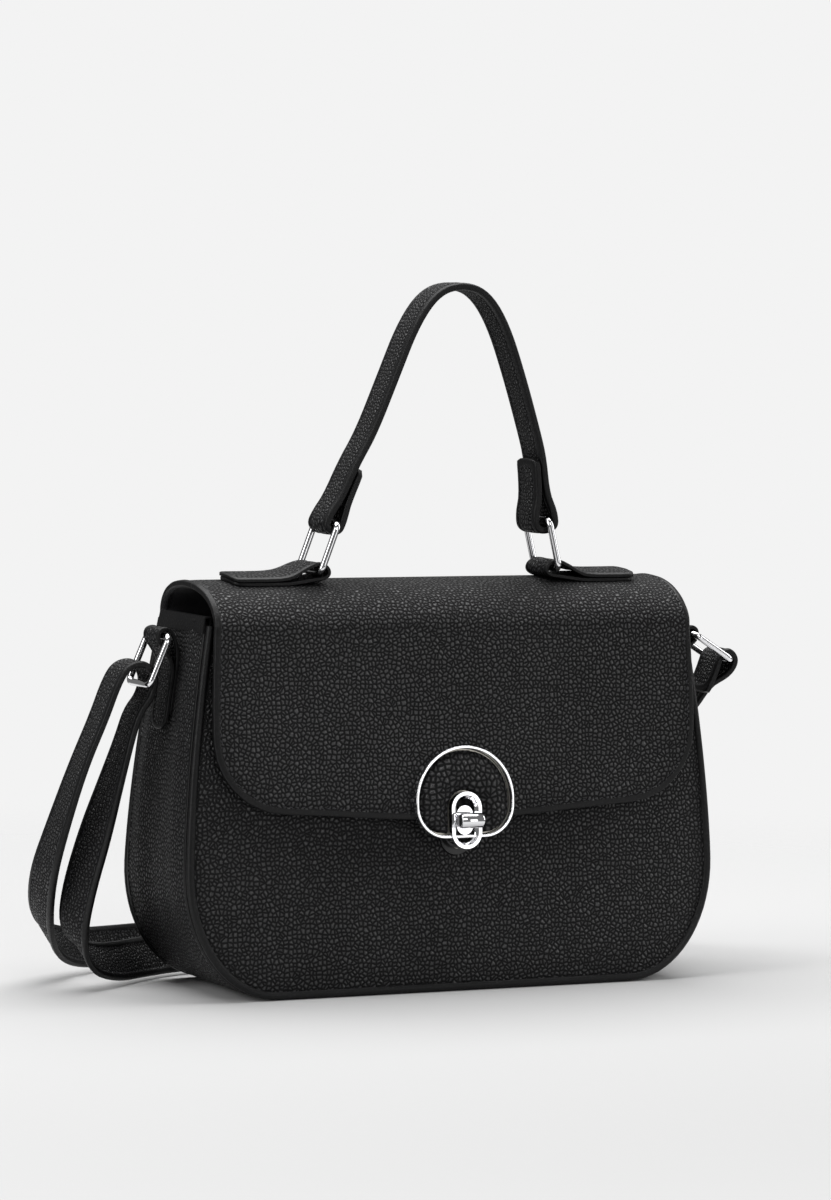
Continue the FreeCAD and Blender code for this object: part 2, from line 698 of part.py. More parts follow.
def handle():
    layer = HANDLE_THICKNESS / 2 + 0.15
    loop = LOOP_BORE + HANDLE_THICKNESS / 2
    left_bar = bar_end(LEFT_FOOT, LEFT_RING_LEAN, True)
    right_bar = bar_end(RIGHT_FOOT, RIGHT_RING_LEAN, True)
    up_left = direction(25.0)
    up_right = direction(-7.0)
    left = around_bar(left_bar, up_left, (-up_left[1], up_left[0]), loop, layer)
    right = around_bar(right_bar, up_right, (up_right[1], -up_right[0]), OPEN_PIVOT_LOOP, layer)
    crown = [(-31.5, 237), (-21.5, 261), (-12.0, 284), (-2.0, 297.5), (10.0, 301.0), (21.5, 297.5),
             (31.0, 284), (39.5, 261), (46.5, 239)]
    route = left + crown + right[::-1]
    points = [(x, HANDLE_Y, z) for x, z in route]
    return ribbon("handle", points, [(0, 1, 0)] * len(points), HANDLE_WIDTH, HANDLE_THICKNESS)


save("handle", handle())

# ---------------------------------------------------------------- shoulder strap
OUTER_LEG = ((-149.5, 4, 118), (-158, 6, 97), (-164.5, 12, 71), (-167.5, 21, 49), (-163.5, 34, 30),
             (-153, 49, 17), (-135, 63, 11.0), (-112, 74, 9.9), (-84, 82, 9.8), (-54, 84, 9.7),
             (-26, 80, 8.6), (-2, 72, 5.0), (16, 66.5, 2.6), (30, 65, 1.8))
OUTER_SIDES = ((0, 1, 0), (0, 1, 0), (-0.1, 1, 0), (-0.2, 1, 0.1), (-0.2, 0.9, 0.4),
               (-0.2, 0.6, 0.75), (-0.1, 0.3, 0.95), (0, 0.2, 0.98), (0, 0.2, 0.98), (0, 0.3, 0.95),
               (0, 0.65, 0.75), (0, 0.95, 0.3), (0, 1, 0.05), (0, 1, 0))
INNER_LEG = ((-138.2, 3.5, 108), (-144, 5, 88), (-149.5, 8.5, 66), (-154.5, 13, 43), (-155.5, 17, 25),
             (-147.5, 20, 13), (-132.5, 27, 9.5), (-114.5, 40, 9.3), (-92.5, 51, 9.3), (-66, 53.5, 9.3),
             (-38, 53, 9.2), (-12, 58, 8.2), (8, 62.5, 6.6), (30, 65, 5.2))
INNER_SIDES = ((0, 1, 0), (-0.2, 1, 0), (-0.45, 0.9, 0), (-0.45, 0.9, 0), (-0.3, 0.9, 0.3),
               (-0.1, 0.7, 0.7), (-0.1, 0.5, 0.85), (-0.1, 0.4, 0.9), (-0.1, 0.4, 0.9), (0, 0.3, 0.95),
               (0, 0.4, 0.9), (0, 0.8, 0.6), (0, 1, 0.15), (0, 1, 0))
LEFT_TURN = ((-134.8, 3, 119.5), (-129.2, 3, 126.0), (-127.6, 3, 134.5), (-132.5, 3, 140.5),
             (-140.5, 3, 139.0), (-145.2, 3, 131.0))
SINGLE = ((45.5, 65.2, 3.6), (59, 65.8, 3.1), (75, 69.5, 3.0), (95, 77, 3.6), (114, 83.5, 7.5),
          (130, 82, 17), (137.5, 70, 36), (136.5, 56, 61), (135, 41, 85), (137, 27, 105), (141.5, 15, 120))
SINGLE_SIDES = ((0, 1, 0), (0, 1, 0), (0, 1, 0), (-0.1, 0.98, 0.15), (-0.2, 0.85, 0.45), (0.1, 0.6, 0.4),
                (0.5, 0.6, 0.3), (0.3, 0.9, 0.4), (0.2, 0.9, 0.4), (0.1, 0.95, 0.3), (0, 1, 0.1))


def strap_end_right():
    """The strap's sewn end, looped round the right side ring's lower bar."""
    bar = bar_end(RIGHT_BAR, RIGHT_SIDE_LEAN, False)
    loop = LOOP_BORE + STRAP_THICKNESS / 2
    layer = STRAP_THICKNESS / 2 + 0.15
    heading = direction(180 + 32)
    outward = (-heading[1], heading[0])

    def at(along, off):
        x, z = [bar[k] + heading[k] * along + outward[k] * off for k in (0, 1)]
        return (x, SIDE_Y, z)
    route = [at(13, -layer), at(7, -layer - 0.5), at(1.5, -loop), at(-loop, -loop),
             at(-loop, loop), at(1.5, loop), at(7, layer + 0.5), at(13, layer)]
    return ribbon("strap_end_right", route, [(0, 1, 0)] * len(route), STRAP_WIDTH, STRAP_THICKNESS)


def strap_slider():
    """A flat frame with a middle bar that sets the strap's length."""
    long = 14.0
    wide = 24.0
    thick = 2.4
    frame = Part.makeBox(long, wide, thick, V(31, 65 - wide / 2, 2.6))
    for start in (33.4, 39.2):
        frame = frame.cut(Part.makeBox(3.4, 19.2, 10, V(start, 65 - 9.6, 0)))
    return frame


TURN_SIDES = [(0, 1, 0)] * len(LEFT_TURN)
STRAP_RUNS = {"strap_outer_leg": (OUTER_LEG, OUTER_SIDES), "strap_inner_leg": (INNER_LEG, INNER_SIDES),
              "strap_turn_left": (LEFT_TURN, TURN_SIDES), "strap_single": (SINGLE, SINGLE_SIDES)}
for run, (route, sides) in STRAP_RUNS.items():
    save(run, ribbon(run, route, sides, STRAP_WIDTH, STRAP_THICKNESS))
save("strap_end_right", strap_end_right())
save("strap_slider", strap_slider())
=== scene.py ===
# %% [markdown]
# # A satchel bag, built around its design
# The bag is black pebbled artificial leather: a stiffened body with a piped rim, a flap with a turn lock,
# a short handle on two rings and a long strap on two more.  The design file already holds every hard part,
# every joint and every size.  This lesson adds what the design leaves plain: the leather, its edges, its
# stitches and its finishes.  Everything is in metres and in the design's own frame.

# %% Load the frame
import bmesh
import bpy
import math
import numpy as np
from mathutils import Matrix, Vector


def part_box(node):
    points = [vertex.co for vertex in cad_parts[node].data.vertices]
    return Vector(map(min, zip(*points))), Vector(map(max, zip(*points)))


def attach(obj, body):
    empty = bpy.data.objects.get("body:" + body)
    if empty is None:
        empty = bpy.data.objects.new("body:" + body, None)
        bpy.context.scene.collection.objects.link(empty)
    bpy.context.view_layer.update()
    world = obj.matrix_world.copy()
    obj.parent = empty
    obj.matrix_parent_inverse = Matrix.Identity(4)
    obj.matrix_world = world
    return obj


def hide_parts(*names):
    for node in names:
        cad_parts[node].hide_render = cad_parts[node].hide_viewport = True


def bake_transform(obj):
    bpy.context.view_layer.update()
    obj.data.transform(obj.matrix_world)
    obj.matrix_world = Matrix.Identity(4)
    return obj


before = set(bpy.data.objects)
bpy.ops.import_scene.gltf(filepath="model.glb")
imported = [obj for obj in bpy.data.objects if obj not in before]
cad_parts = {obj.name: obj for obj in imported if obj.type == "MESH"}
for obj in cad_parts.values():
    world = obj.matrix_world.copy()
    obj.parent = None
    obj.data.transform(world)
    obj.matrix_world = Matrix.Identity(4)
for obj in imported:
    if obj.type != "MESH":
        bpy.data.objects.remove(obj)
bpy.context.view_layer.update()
MM = 0.001

# %% [markdown]
# ## The camera
# A product shot is taken from far away with a long lens, so that the bag's lines stay nearly parallel.
# The camera stands to the left of the bag, a little above it, and is turned by about a degree because the
# bag leans on its soft base.  Working out the three axes of the camera is surer than aiming by eye.

# %% Camera
CAMERA_AZIMUTH = math.radians(26.13)
CAMERA_HEIGHT = math.radians(3.88)
CAMERA_ROLL = math.radians(0.96)
CAMERA_DISTANCE = 2.1582
CAMERA_TARGET = Vector((-0.00458, 0.0, 0.16473))
LENS = 150

flat = CAMERA_DISTANCE * math.cos(CAMERA_HEIGHT)
spot = CAMERA_TARGET + Vector((-flat * math.sin(CAMERA_AZIMUTH), -flat * math.cos(CAMERA_AZIMUTH),
                               CAMERA_DISTANCE * math.sin(CAMERA_HEIGHT)))
ahead = (CAMERA_TARGET - spot).normalized()
right = ahead.cross(Vector((0, 0, 1))).normalized()
upward = right.cross(ahead)
rolled_right = right * math.cos(CAMERA_ROLL) + upward * math.sin(CAMERA_ROLL)
rolled_up = upward * math.cos(CAMERA_ROLL) - right * math.sin(CAMERA_ROLL)
bpy.ops.object.camera_add(location=spot)
camera = bpy.context.object
camera.name = "camera"
camera.rotation_euler = Matrix((rolled_right, rolled_up, -ahead)).transposed().to_euler()
camera.data.lens = LENS
camera.data.clip_end = 20
bpy.context.scene.camera = camera
bpy.context.scene.view_settings.view_transform = "Standard"
print("camera at", [round(v, 3) for v in spot])

# %% [markdown]
# ## Small tools
# Almost every piece is made in the same few moves: add a flat shape, pick some of its faces or edges by
# where they are, use an edit mode tool on them, and apply a modifier.  These helpers keep those moves short.
# An edit mode tool works on whatever is selected, so each piece starts with nothing else selected.

# %% Tools for selecting and editing
def clear_selection():
    bpy.ops.object.select_all(action="DESELECT")


def take(piece):
    """Makes a piece the only selected one."""
    clear_selection()
    piece.select_set(True)
    bpy.context.view_layer.objects.active = piece
    return piece


def start(name, add, **where):
    """Adds a primitive with nothing else selected and opens it in edit mode with all of it selected."""
    clear_selection()
    add(**where)
    piece = bpy.context.object
    piece.name = name
    bpy.ops.object.transform_apply(location=True, rotation=True, scale=True)
    bpy.ops.object.mode_set(mode="EDIT")
    bpy.ops.mesh.select_all(action="SELECT")
    return piece


def done(piece, *modifiers):
    """Leaves edit mode and adds and applies modifiers, each given as its kind and its settings."""
    if bpy.context.mode == "EDIT_MESH":
        bpy.ops.object.mode_set(mode="OBJECT")
    take(piece)
    for kind, settings in modifiers:
        modifier = piece.modifiers.new(kind.lower(), kind)
        for setting, value in settings.items():
            setattr(modifier, setting, value)
        bpy.ops.object.modifier_apply(modifier=modifier.name)
    bpy.ops.object.transform_apply(location=True, rotation=True, scale=True)
    return piece


def pick(piece, kind, wanted):
    """Selects the verts, edges or faces of the open piece whose middle and normal pass a test."""
    bpy.ops.mesh.select_mode(type={"verts": "VERT", "edges": "EDGE", "faces": "FACE"}[kind])
    bpy.ops.mesh.select_all(action="DESELECT")
    mesh = bmesh.from_edit_mesh(piece.data)
    mesh.normal_update()
    for item in getattr(mesh, kind):
        if kind == "verts":
            middle, normal = item.co, item.normal
        elif kind == "edges":
            middle = (item.verts[0].co + item.verts[1].co) / 2
            normal = (item.verts[0].normal + item.verts[1].normal) / 2
        else:
            middle, normal = item.calc_center_median(), item.normal
        if wanted(middle, normal):
            item.select_set(True)
    bmesh.update_edit_mesh(piece.data)


def cut_at(places, normal):
    """Cuts the whole open piece across at each place along a direction."""
    for place in places:
        bpy.ops.mesh.select_all(action="SELECT")
        bpy.ops.mesh.bisect(plane_co=place, plane_no=normal)


def move_points(piece, rule):
    """Moves each point of a closed-up piece as a rule says: arrays of places and normals in, places out."""
    count = len(piece.data.vertices)
    places = np.empty(count * 3)
    normals = np.empty(count * 3)
    piece.data.vertices.foreach_get("co", places)
    piece.data.vertices.foreach_get("normal", normals)
    moved = rule(places.reshape(-1, 3), normals.reshape(-1, 3))
    piece.data.vertices.foreach_set("co", np.ascontiguousarray(moved, dtype=float).ravel())
    piece.data.update()
    return piece


def joined(name, pieces):
    """Joins pieces into the first one, keeping their material slots."""
    clear_selection()
    for piece in pieces:
        piece.select_set(True)
    bpy.context.view_layer.objects.active = pieces[0]
    bpy.ops.object.join()
    pieces[0].name = name
    return pieces[0]


# %% [markdown]
# ## Lines that leather follows
# A strap is cut flat and then bent along a line, and so is every other leather part of this bag.  So each
# bent part needs a line, and the direction of its width along that line.  For the loose strap and the
# handle the line is a NURBS spline, because it is as smooth as a bent strap is.  The two edges of the strap
# are drawn as splines with the same number of points, and the middle and the width come from those two.

# %% Lines
def spline_points(points, kind="NURBS", resolution=12):
    """The points along a smooth open spline, read from a curve with no thickness."""
    curve = bpy.data.curves.new("line", "CURVE")
    curve.dimensions = "3D"
    curve.resolution_u = resolution
    spline = curve.splines.new(kind)
    if kind == "BEZIER":
        spline.bezier_points.add(len(points) - 1)
        for knot, point in zip(spline.bezier_points, points):
            knot.co = point
            knot.handle_left_type = knot.handle_right_type = "AUTO"
    else:
        spline.points.add(len(points) - 1)
        for knot, point in zip(spline.points, points):
            knot.co = (*point, 1)
        spline.order_u = 3
        spline.use_endpoint_u = True
    holder = bpy.data.objects.new("line", curve)
    bpy.context.collection.objects.link(holder)
    mesh = bpy.data.meshes.new_from_object(holder.evaluated_get(bpy.context.evaluated_depsgraph_get()))
    line = np.array([vertex.co for vertex in mesh.vertices])
    bpy.data.objects.remove(holder)
    bpy.data.curves.remove(curve)
    bpy.data.meshes.remove(mesh)
    return line


def unit(rows):
    return rows / np.linalg.norm(rows, axis=-1, keepdims=True)


def lengths_along(line):
    steps = np.linalg.norm(np.diff(line, axis=0), axis=1)
    return np.concatenate(([0.0], np.cumsum(steps)))


def strap_line(points, sides, half_width=0.009):
    """Middle line and width directions of a strap, from the splines of its two edges, in metres."""
    points = np.array(points) * MM
    sides = unit(np.array(sides, dtype=float))
    one = spline_points(points + sides * half_width)
    other = spline_points(points - sides * half_width)
    return (one + other) / 2, unit(one - other)


def bend_cuts(line, most_turn=11.0, most_length=0.007):
    """Places along a line where flat leather needs a cross line to bend well."""
    along = lengths_along(line)
    heads = unit(np.diff(line, axis=0))
    cuts, turned, last = [], 0.0, 0.0
    for number in range(1, len(heads)):
        turned += math.degrees(math.acos(min(1.0, float(heads[number] @ heads[number - 1]))))
        if turned > most_turn or along[number] - last > most_length:
            cuts.append(along[number])
            turned, last = 0.0, along[number]
    return cuts


def lay_along(piece, line, sides):
    """Bends a flat piece along a line: its X runs along, its Y across and its Z out of the surface."""
    along = lengths_along(line)
    heads = unit(np.gradient(line, along, axis=0))

    def rule(places, normals):
        x = np.clip(places[:, 0], 0, along[-1])
        over = (places[:, 0] - x)[:, None]
        middle = np.stack([np.interp(x, along, line[:, k]) for k in range(3)], axis=1)
        head = unit(np.stack([np.interp(x, along, heads[:, k]) for k in range(3)], axis=1))
        side = np.stack([np.interp(x, along, sides[:, k]) for k in range(3)], axis=1)
        side = unit(side - head * np.sum(side * head, axis=1, keepdims=True))
        out = np.cross(head, side)
        return middle + head * over + side * places[:, 1:2] + out * places[:, 2:3]
    return move_points(piece, rule)


# %% [markdown]
# ## The loose strap's routes
# The shoulder strap is one long strip.  It leaves a slider behind the bag, runs to the left, stands up beside
# the bag, goes round the left ring, and comes back down beside itself to the slider, and from there a single
# layer runs on to the right ring.  The routes are the design's, point for point, so that the strap that
# is seen lies where the strap that is tested lies.

# %% Strap routes, in millimetres, with the direction of the strap's width at each point
OUTER_LEG = ((-149.5, 4, 118), (-158, 6, 97), (-164.5, 12, 71), (-167.5, 21, 49), (-163.5, 34, 30),
             (-153, 49, 17), (-135, 63, 11.0), (-112, 74, 9.9), (-84, 82, 9.8), (-54, 84, 9.7),
             (-26, 80, 8.6), (-2, 72, 5.0), (16, 66.5, 2.6), (30, 65, 1.8))
OUTER_SIDES = ((0, 1, 0), (0, 1, 0), (-0.1, 1, 0), (-0.2, 1, 0.1), (-0.2, 0.9, 0.4),
               (-0.2, 0.6, 0.75), (-0.1, 0.3, 0.95), (0, 0.2, 0.98), (0, 0.2, 0.98), (0, 0.3, 0.95),
               (0, 0.65, 0.75), (0, 0.95, 0.3), (0, 1, 0.05), (0, 1, 0))
INNER_LEG = ((-138.2, 3.5, 108), (-144, 5, 88), (-149.5, 8.5, 66), (-154.5, 13, 43), (-155.5, 17, 25),
             (-147.5, 20, 13), (-132.5, 27, 9.5), (-114.5, 40, 9.3), (-92.5, 51, 9.3), (-66, 53.5, 9.3),
             (-38, 53, 9.2), (-12, 58, 8.2), (8, 62.5, 6.6), (30, 65, 5.2))
INNER_SIDES = ((0, 1, 0), (-0.2, 1, 0), (-0.45, 0.9, 0), (-0.45, 0.9, 0), (-0.3, 0.9, 0.3),
               (-0.1, 0.7, 0.7), (-0.1, 0.5, 0.85), (-0.1, 0.4, 0.9), (-0.1, 0.4, 0.9), (0, 0.3, 0.95),
               (0, 0.4, 0.9), (0, 0.8, 0.6), (0, 1, 0.15), (0, 1, 0))
LEFT_TURN = ((-134.8, 3, 119.5), (-129.2, 3, 126.0), (-127.6, 3, 134.5), (-132.5, 3, 140.5),
             (-140.5, 3, 139.0), (-145.2, 3, 131.0))
SINGLE = ((45.5, 65.2, 3.6), (59, 65.8, 3.1), (75, 69.5, 3.0), (95, 77, 3.6), (114, 83.5, 7.5),
          (130, 82, 17), (137.5, 70, 36), (136.5, 56, 61), (135, 41, 85), (137, 27, 105), (141.5, 15, 120))
SINGLE_SIDES = ((0, 1, 0), (0, 1, 0), (0, 1, 0), (-0.1, 0.98, 0.15), (-0.2, 0.85, 0.45), (0.1, 0.6, 0.4),
                (0.5, 0.6, 0.3), (0.3, 0.9, 0.4), (0.2, 0.9, 0.4), (0.1, 0.95, 0.3), (0, 1, 0.1))
RIGHT_LOOP = ((144.5, 8, 126.5), (150.5, 3.0, 131.5), (152.5, 3, 136.5), (149, 3, 140.5), (144.8, 3, 138.5),
              (143.0, 3, 133.0), (140.5, 3, 127.0), (137.5, 3, 121.5))

doubled_route = OUTER_LEG[::-1] + LEFT_TURN[::-1] + INNER_LEG
doubled_sides = OUTER_SIDES[::-1] + ((0, 1, 0),) * len(LEFT_TURN) + INNER_SIDES
single_route = SINGLE + RIGHT_LOOP
single_sides = SINGLE_SIDES + ((0, 1, 0),) * len(RIGHT_LOOP)
doubled_line, doubled_across = strap_line(doubled_route, doubled_sides)
single_line, single_across = strap_line(single_route, single_sides)
print("strap lengths, m", [round(lengths_along(line)[-1], 3) for line in (doubled_line, single_line)])

# %% [markdown]
# ## Finishes
# The whole bag is one hide: polyurethane leather, a knitted backing with a plastic skin that a roller has
# pressed with pebbles about 2 mm apart.  The skin is matt and the pebble tops are rubbed a little shinier.
# Its colour is painted darker in the creases as painted shade and lighter on the tops as painted highlight,
# so the bump, the roughness and this painted light all come from the same cells.
# A Voronoi texture gives the cells: its distance to the nearest cell edge, smoothed, makes each cell a
# rounded pebble, and a little noise in its coordinates stops them looking like a honeycomb.

# %% Colours and nodes
def colour(code):
    """A colour that a screen shows as this sRGB hex code, in the linear values that a shader takes."""
    parts = [int(code[k:k + 2], 16) / 255 for k in (1, 3, 5)]
    return (*[p / 12.92 if p <= 0.04045 else ((p + 0.055) / 1.055) ** 2.4 for p in parts], 1)


def add_node(material, kind, settings={}, links={}):
    """Adds a node, sets its inputs or options by name, and links its inputs to other nodes' outputs."""
    node = material.node_tree.nodes.new("ShaderNode" + kind)
    for name, value in settings.items():
        if name in node.inputs:
            node.inputs[name].default_value = value
        else:
            setattr(node, name, value)
    for name, (source, output) in links.items():
        material.node_tree.links.new(source.outputs[output], node.inputs[name])
    return node


def finish_named(name, **settings):
    """A new material and its Principled shader, with plain values set on the shader itself."""
    material = bpy.data.materials.new(name)
    material.use_nodes = True
    shader = material.node_tree.nodes["Principled BSDF"]
    for setting, value in settings.items():
        shader.inputs[setting.replace("_", " ")].default_value = value
    return material, shader


def link(material, source, output, shader, socket):
    material.node_tree.links.new(source.outputs[output], shader.inputs[socket])


# %% [markdown]
# Pebbled leather is used three times: on the body and flap, on the straps, where the hide is thinner and the
# grain closer, and on the pad of the lock, where it is stretched over foam and each pebble spreads.

# %% Pebbled leather
HIDE_MAP = "flat_hide"


def keep_flat_places(piece, u=0, v=1):
    """Stores where each point lies on the flat hide, in metres, before the piece is bent."""
    mesh = piece.data
    layer = mesh.uv_layers.new(name=HIDE_MAP)
    places = np.empty(len(mesh.vertices) * 3)
    mesh.vertices.foreach_get("co", places)
    corners = np.empty(len(mesh.loops), dtype=int)
    mesh.loops.foreach_get("vertex_index", corners)
    flat_places = places.reshape(-1, 3)[corners][:, [u, v]]
    layer.data.foreach_set("uv", flat_places.ravel())
    return piece


def pebbled_leather(name, pebble, depth, top, painted_crease_shade, gloss=0.40, valley=(0.72, 0.2), shine_top=0.8,
                    pressed_flat=True):
    """Embossed polyurethane leather; pebble, depth in metres; top colour paints highlight, crease colour
    paints shade.
    """
    material, shader = finish_named(name, IOR=1.5, Specular_IOR_Level=0.5)
    solid = add_node(material, "TexCoord")
    if pressed_flat:
        hide = add_node(material, "UVMap", {"uv_map": HIDE_MAP})
        place, output = hide, "UV"
    else:
        place, output = solid, "Object"
    wander = add_node(material, "TexNoise", {"Scale": 0.35 / pebble, "Detail": 1.0},
                      {"Vector": (place, output)})
    centred = add_node(material, "VectorMath", {"operation": "SUBTRACT"}, {0: (wander, "Color")})
    centred.inputs[1].default_value = (0.5, 0.5, 0.5)
    warped = add_node(material, "VectorMath", {"operation": "MULTIPLY_ADD"},
                      {0: (centred, "Vector"), 2: (place, output)})
    warped.inputs[1].default_value = (pebble * 0.5,) * 3
    flatness = {"voronoi_dimensions": "2D"} if pressed_flat else {}
    cells = add_node(material, "TexVoronoi",
                     {"feature": "DISTANCE_TO_EDGE", "Scale": 1 / pebble, "Randomness": 0.85, **flatness},
                     {"Vector": (warped, "Vector")})
    crown = add_node(material, "MapRange", {"interpolation_type": "SMOOTHSTEP", "From Min": 0.05,
                                            "From Max": 0.47}, {"Value": (cells, "Distance")})
    pores = add_node(material, "TexNoise", {"Scale": 5.5 / pebble, "Detail": 3.0},
                     {"Vector": (solid, "Object")})
    pressed = add_node(material, "Bump", {"Strength": 1.0, "Distance": depth}, {"Height": (crown, "Result")})
    rough_skin = add_node(material, "Bump", {"Strength": 1.0, "Distance": depth * 0.10},
                          {"Height": (pores, "Fac"), "Normal": (pressed, "Normal")})
    wear = add_node(material, "TexNoise", {"Scale": 22.0, "Detail": 4.0}, {"Vector": (solid, "Object")})
    # Painted light: the crease colour is painted shade and the lighter top colour is painted highlight, mixed
    # by pebble height.
    tone = add_node(material, "MixRGB", {"Color1": colour(painted_crease_shade), "Color2": colour(top)},
                    {"Fac": (crown, "Result")})
    shade = add_node(material, "MapRange", {"From Min": 0.3, "From Max": 0.7, "To Min": 0.8, "To Max": 1.2},
                     {"Value": (wear, "Fac")})
    toned = add_node(material, "VectorMath", {"operation": "SCALE"},
                     {0: (tone, "Color"), "Scale": (shade, "Result")})
    rubbed = add_node(material, "MapRange", {"To Min": valley[0], "To Max": gloss},
                      {"Value": (crown, "Result")})
    patchy = add_node(material, "MapRange", {"From Min": 0.3, "From Max": 0.7, "To Min": 0.05,
                                             "To Max": -0.04},
                      {"Value": (wear, "Fac")})
    dull = add_node(material, "Math", {"operation": "ADD"}, {0: (rubbed, "Result"), 1: (patchy, "Result")})
    shine = add_node(material, "MapRange", {"To Min": valley[1], "To Max": shine_top},
                     {"Value": (crown, "Result")})
    link(material, toned, "Vector", shader, "Base Color")
    link(material, dull, "Value", shader, "Roughness")
    link(material, shine, "Result", shader, "Specular IOR Level")
    link(material, rough_skin, "Normal", shader, "Normal")
    return material


# The second colour of each is the pebble tops with painted highlight, the third the creases with painted
# shade.
body_leather = pebbled_leather("pebbled_pu_leather", 1.95 * MM, 0.50 * MM, "#141416", "#060607", gloss=0.34)
strap_leather = pebbled_leather("strap_pu_leather", 1.7 * MM, 0.40 * MM, "#141416", "#040405", gloss=0.35)
pad_leather = pebbled_leather("stretched_pu_leather", 2.4 * MM, 0.5 * MM, "#141416", "#030304", gloss=0.26)
turned_leather = pebbled_leather("turned_edge_pu_leather", 1.6 * MM, 0.06 * MM, "#0b0b0c", "#0a0a0b",
                                 gloss=0.40, valley=(0.44, 0.26), shine_top=0.32, pressed_flat=False)

# %% [markdown]
# The thread is waxed polyester.  The lining is a woven polyester twill, and its weave is drawn at 0.6 mm,
# twice the real thread, because the real one is too fine to show.

# %% Thread, lining and board
def plain_with_grain(name, code, roughness, grain, depth, **settings):
    """A single-colour finish with a fine uneven surface; grain and depth in metres."""
    material, shader = finish_named(name, Roughness=roughness, **settings)
    place = add_node(material, "TexCoord")
    uneven = add_node(material, "TexNoise", {"Scale": 1 / grain, "Detail": 3.0},
                      {"Vector": (place, "Object")})
    shade = add_node(material, "MapRange", {"To Min": 0.75, "To Max": 1.25}, {"Value": (uneven, "Fac")})
    toned = add_node(material, "VectorMath", {"operation": "SCALE", "Scale": 1.0},
                     {"Scale": (shade, "Result")})
    toned.inputs[0].default_value = colour(code)[:3]
    bump = add_node(material, "Bump", {"Strength": 1.0, "Distance": depth}, {"Height": (uneven, "Fac")})
    link(material, toned, "Vector", shader, "Base Color")
    link(material, bump, "Normal", shader, "Normal")
    return material


thread = plain_with_grain("waxed_polyester_thread", "#26262a", 0.38, 0.25 * MM, 0.04 * MM)
board = plain_with_grain("grey_fibre_board", "#5d5a55", 0.85, 0.8 * MM, 0.05 * MM)
# The lock's base plate is made near black as painted shade, since only shadow shows below the collar.
shade_black_steel = plain_with_grain("black_steel_painted_shade", "#0d0d0e", 0.35, 2.0 * MM, 0.01 * MM)


def twill_lining():
    material, shader = finish_named("polyester_twill_lining", Roughness=0.6, Sheen_Weight=0.15)
    place = add_node(material, "TexCoord")
    turned = add_node(material, "Mapping", {"Rotation": (0.6, 0.75, 0.0)}, {"Vector": (place, "Object")})
    ribs = add_node(material, "TexWave", {"Scale": 1 / (6.28 * 0.3 * MM), "Distortion": 0.3, "Detail": 1.0},
                    {"Vector": (turned, "Vector")})
    tone = add_node(material, "MixRGB", {"Color1": colour("#0b0b0d"), "Color2": colour("#232327")},
                    {"Fac": (ribs, "Fac")})
    bump = add_node(material, "Bump", {"Strength": 1.0, "Distance": 0.06 * MM}, {"Height": (ribs, "Fac")})
    link(material, tone, "Color", shader, "Base Color")
    link(material, bump, "Normal", shader, "Normal")
    return material


lining_cloth = twill_lining()

# %% [markdown]
# The rings and the lock are zinc castings, polished and plated with bright chrome over nickel.  Chrome is
# nearly white and mirrors everything, so its only detail is a very faint waviness left by the polishing
# wheel and a trace of haze.  Plates that nobody sees are left in dull nickel.

# %% Metals
def plated(name, code, low, high, wave):
    """A polished plated metal whose roughness drifts between two values."""
    material, shader = finish_named(name, Metallic=1.0, Base_Color=colour(code))
    place = add_node(material, "TexCoord")
    haze = add_node(material, "TexNoise", {"Scale": 160.0, "Detail": 3.0}, {"Vector": (place, "Object")})
    dull = add_node(material, "MapRange", {"To Min": low, "To Max": high}, {"Value": (haze, "Fac")})
    polish = add_node(material, "TexNoise", {"Scale": 90.0, "Detail": 0.0}, {"Vector": (place, "Object")})
    bump = add_node(material, "Bump", {"Strength": 1.0, "Distance": wave}, {"Height": (polish, "Fac")})
    link(material, dull, "Result", shader, "Roughness")
    link(material, bump, "Normal", shader, "Normal")
    return material


chrome = plated("bright_chrome_plate", "#f6f6f8", 0.03, 0.08, 0.003 * MM)
nickel = plated("dull_nickel_plate", "#b9b5ac", 0.28, 0.42, 0.02 * MM)
print("materials", len(bpy.data.materials))


def dressed(piece, *materials):
    """Gives a piece its material slots, first one first, and keeps the slot that each face has."""
    slots = np.empty(len(piece.data.polygons), dtype=int)
    piece.data.polygons.foreach_get("material_index", slots)
    piece.data.materials.clear()
    for material in materials:
        piece.data.materials.append(material)
    piece.data.polygons.foreach_set("material_index", np.minimum(slots, len(materials) - 1))
    return piece


# %% [markdown]
# ## Cutting leather flat
# A leather worker cuts a flat piece, thins and turns its edge, sews a line a few millimetres in, and only
# then bends it.  The same order is the easiest here.  A plane gets its corners rounded with a vertex bevel,
# and repeated insets walk in from the edge: first down over the rolled edge, then along the border, into
# the stitch channel and out again.  Mirroring the sheet in its own plane closes it into a solid with two
# good sides, and the line where the halves meet is drawn in, as the gap between two glued layers is.

# %% Flat pieces with rolled and stitched edges
BORDER = 1.4 * MM           # from the rolled edge to the stitch channel
CHANNEL = 0.7 * MM          # half the width of the stitch channel
CHANNEL_DEPTH = 0.5 * MM
BORDER_SWELL = 0.2 * MM
LAYER_GAP = 0.25 * MM       # how far the glued line is drawn in
CROWN_INSET = 1.2 * MM      # from the channel to the raised middle of a firm strap
ONE_LEVEL = {"levels": 1, "render_levels": 1}
SMOOTH_BELOW = math.radians(50)      # edges that turn by less than this are shaded smooth


def round_corners(piece, far_x, radius, segments=6):
    """Rounds the two corners of an open flat sheet that lie at one end."""
    pick(piece, "verts", lambda place, normal: abs(place.x - far_x) < 1e-6)
    bpy.ops.mesh.bevel(offset=radius, segments=segments, profile=0.5, affect="VERTICES")


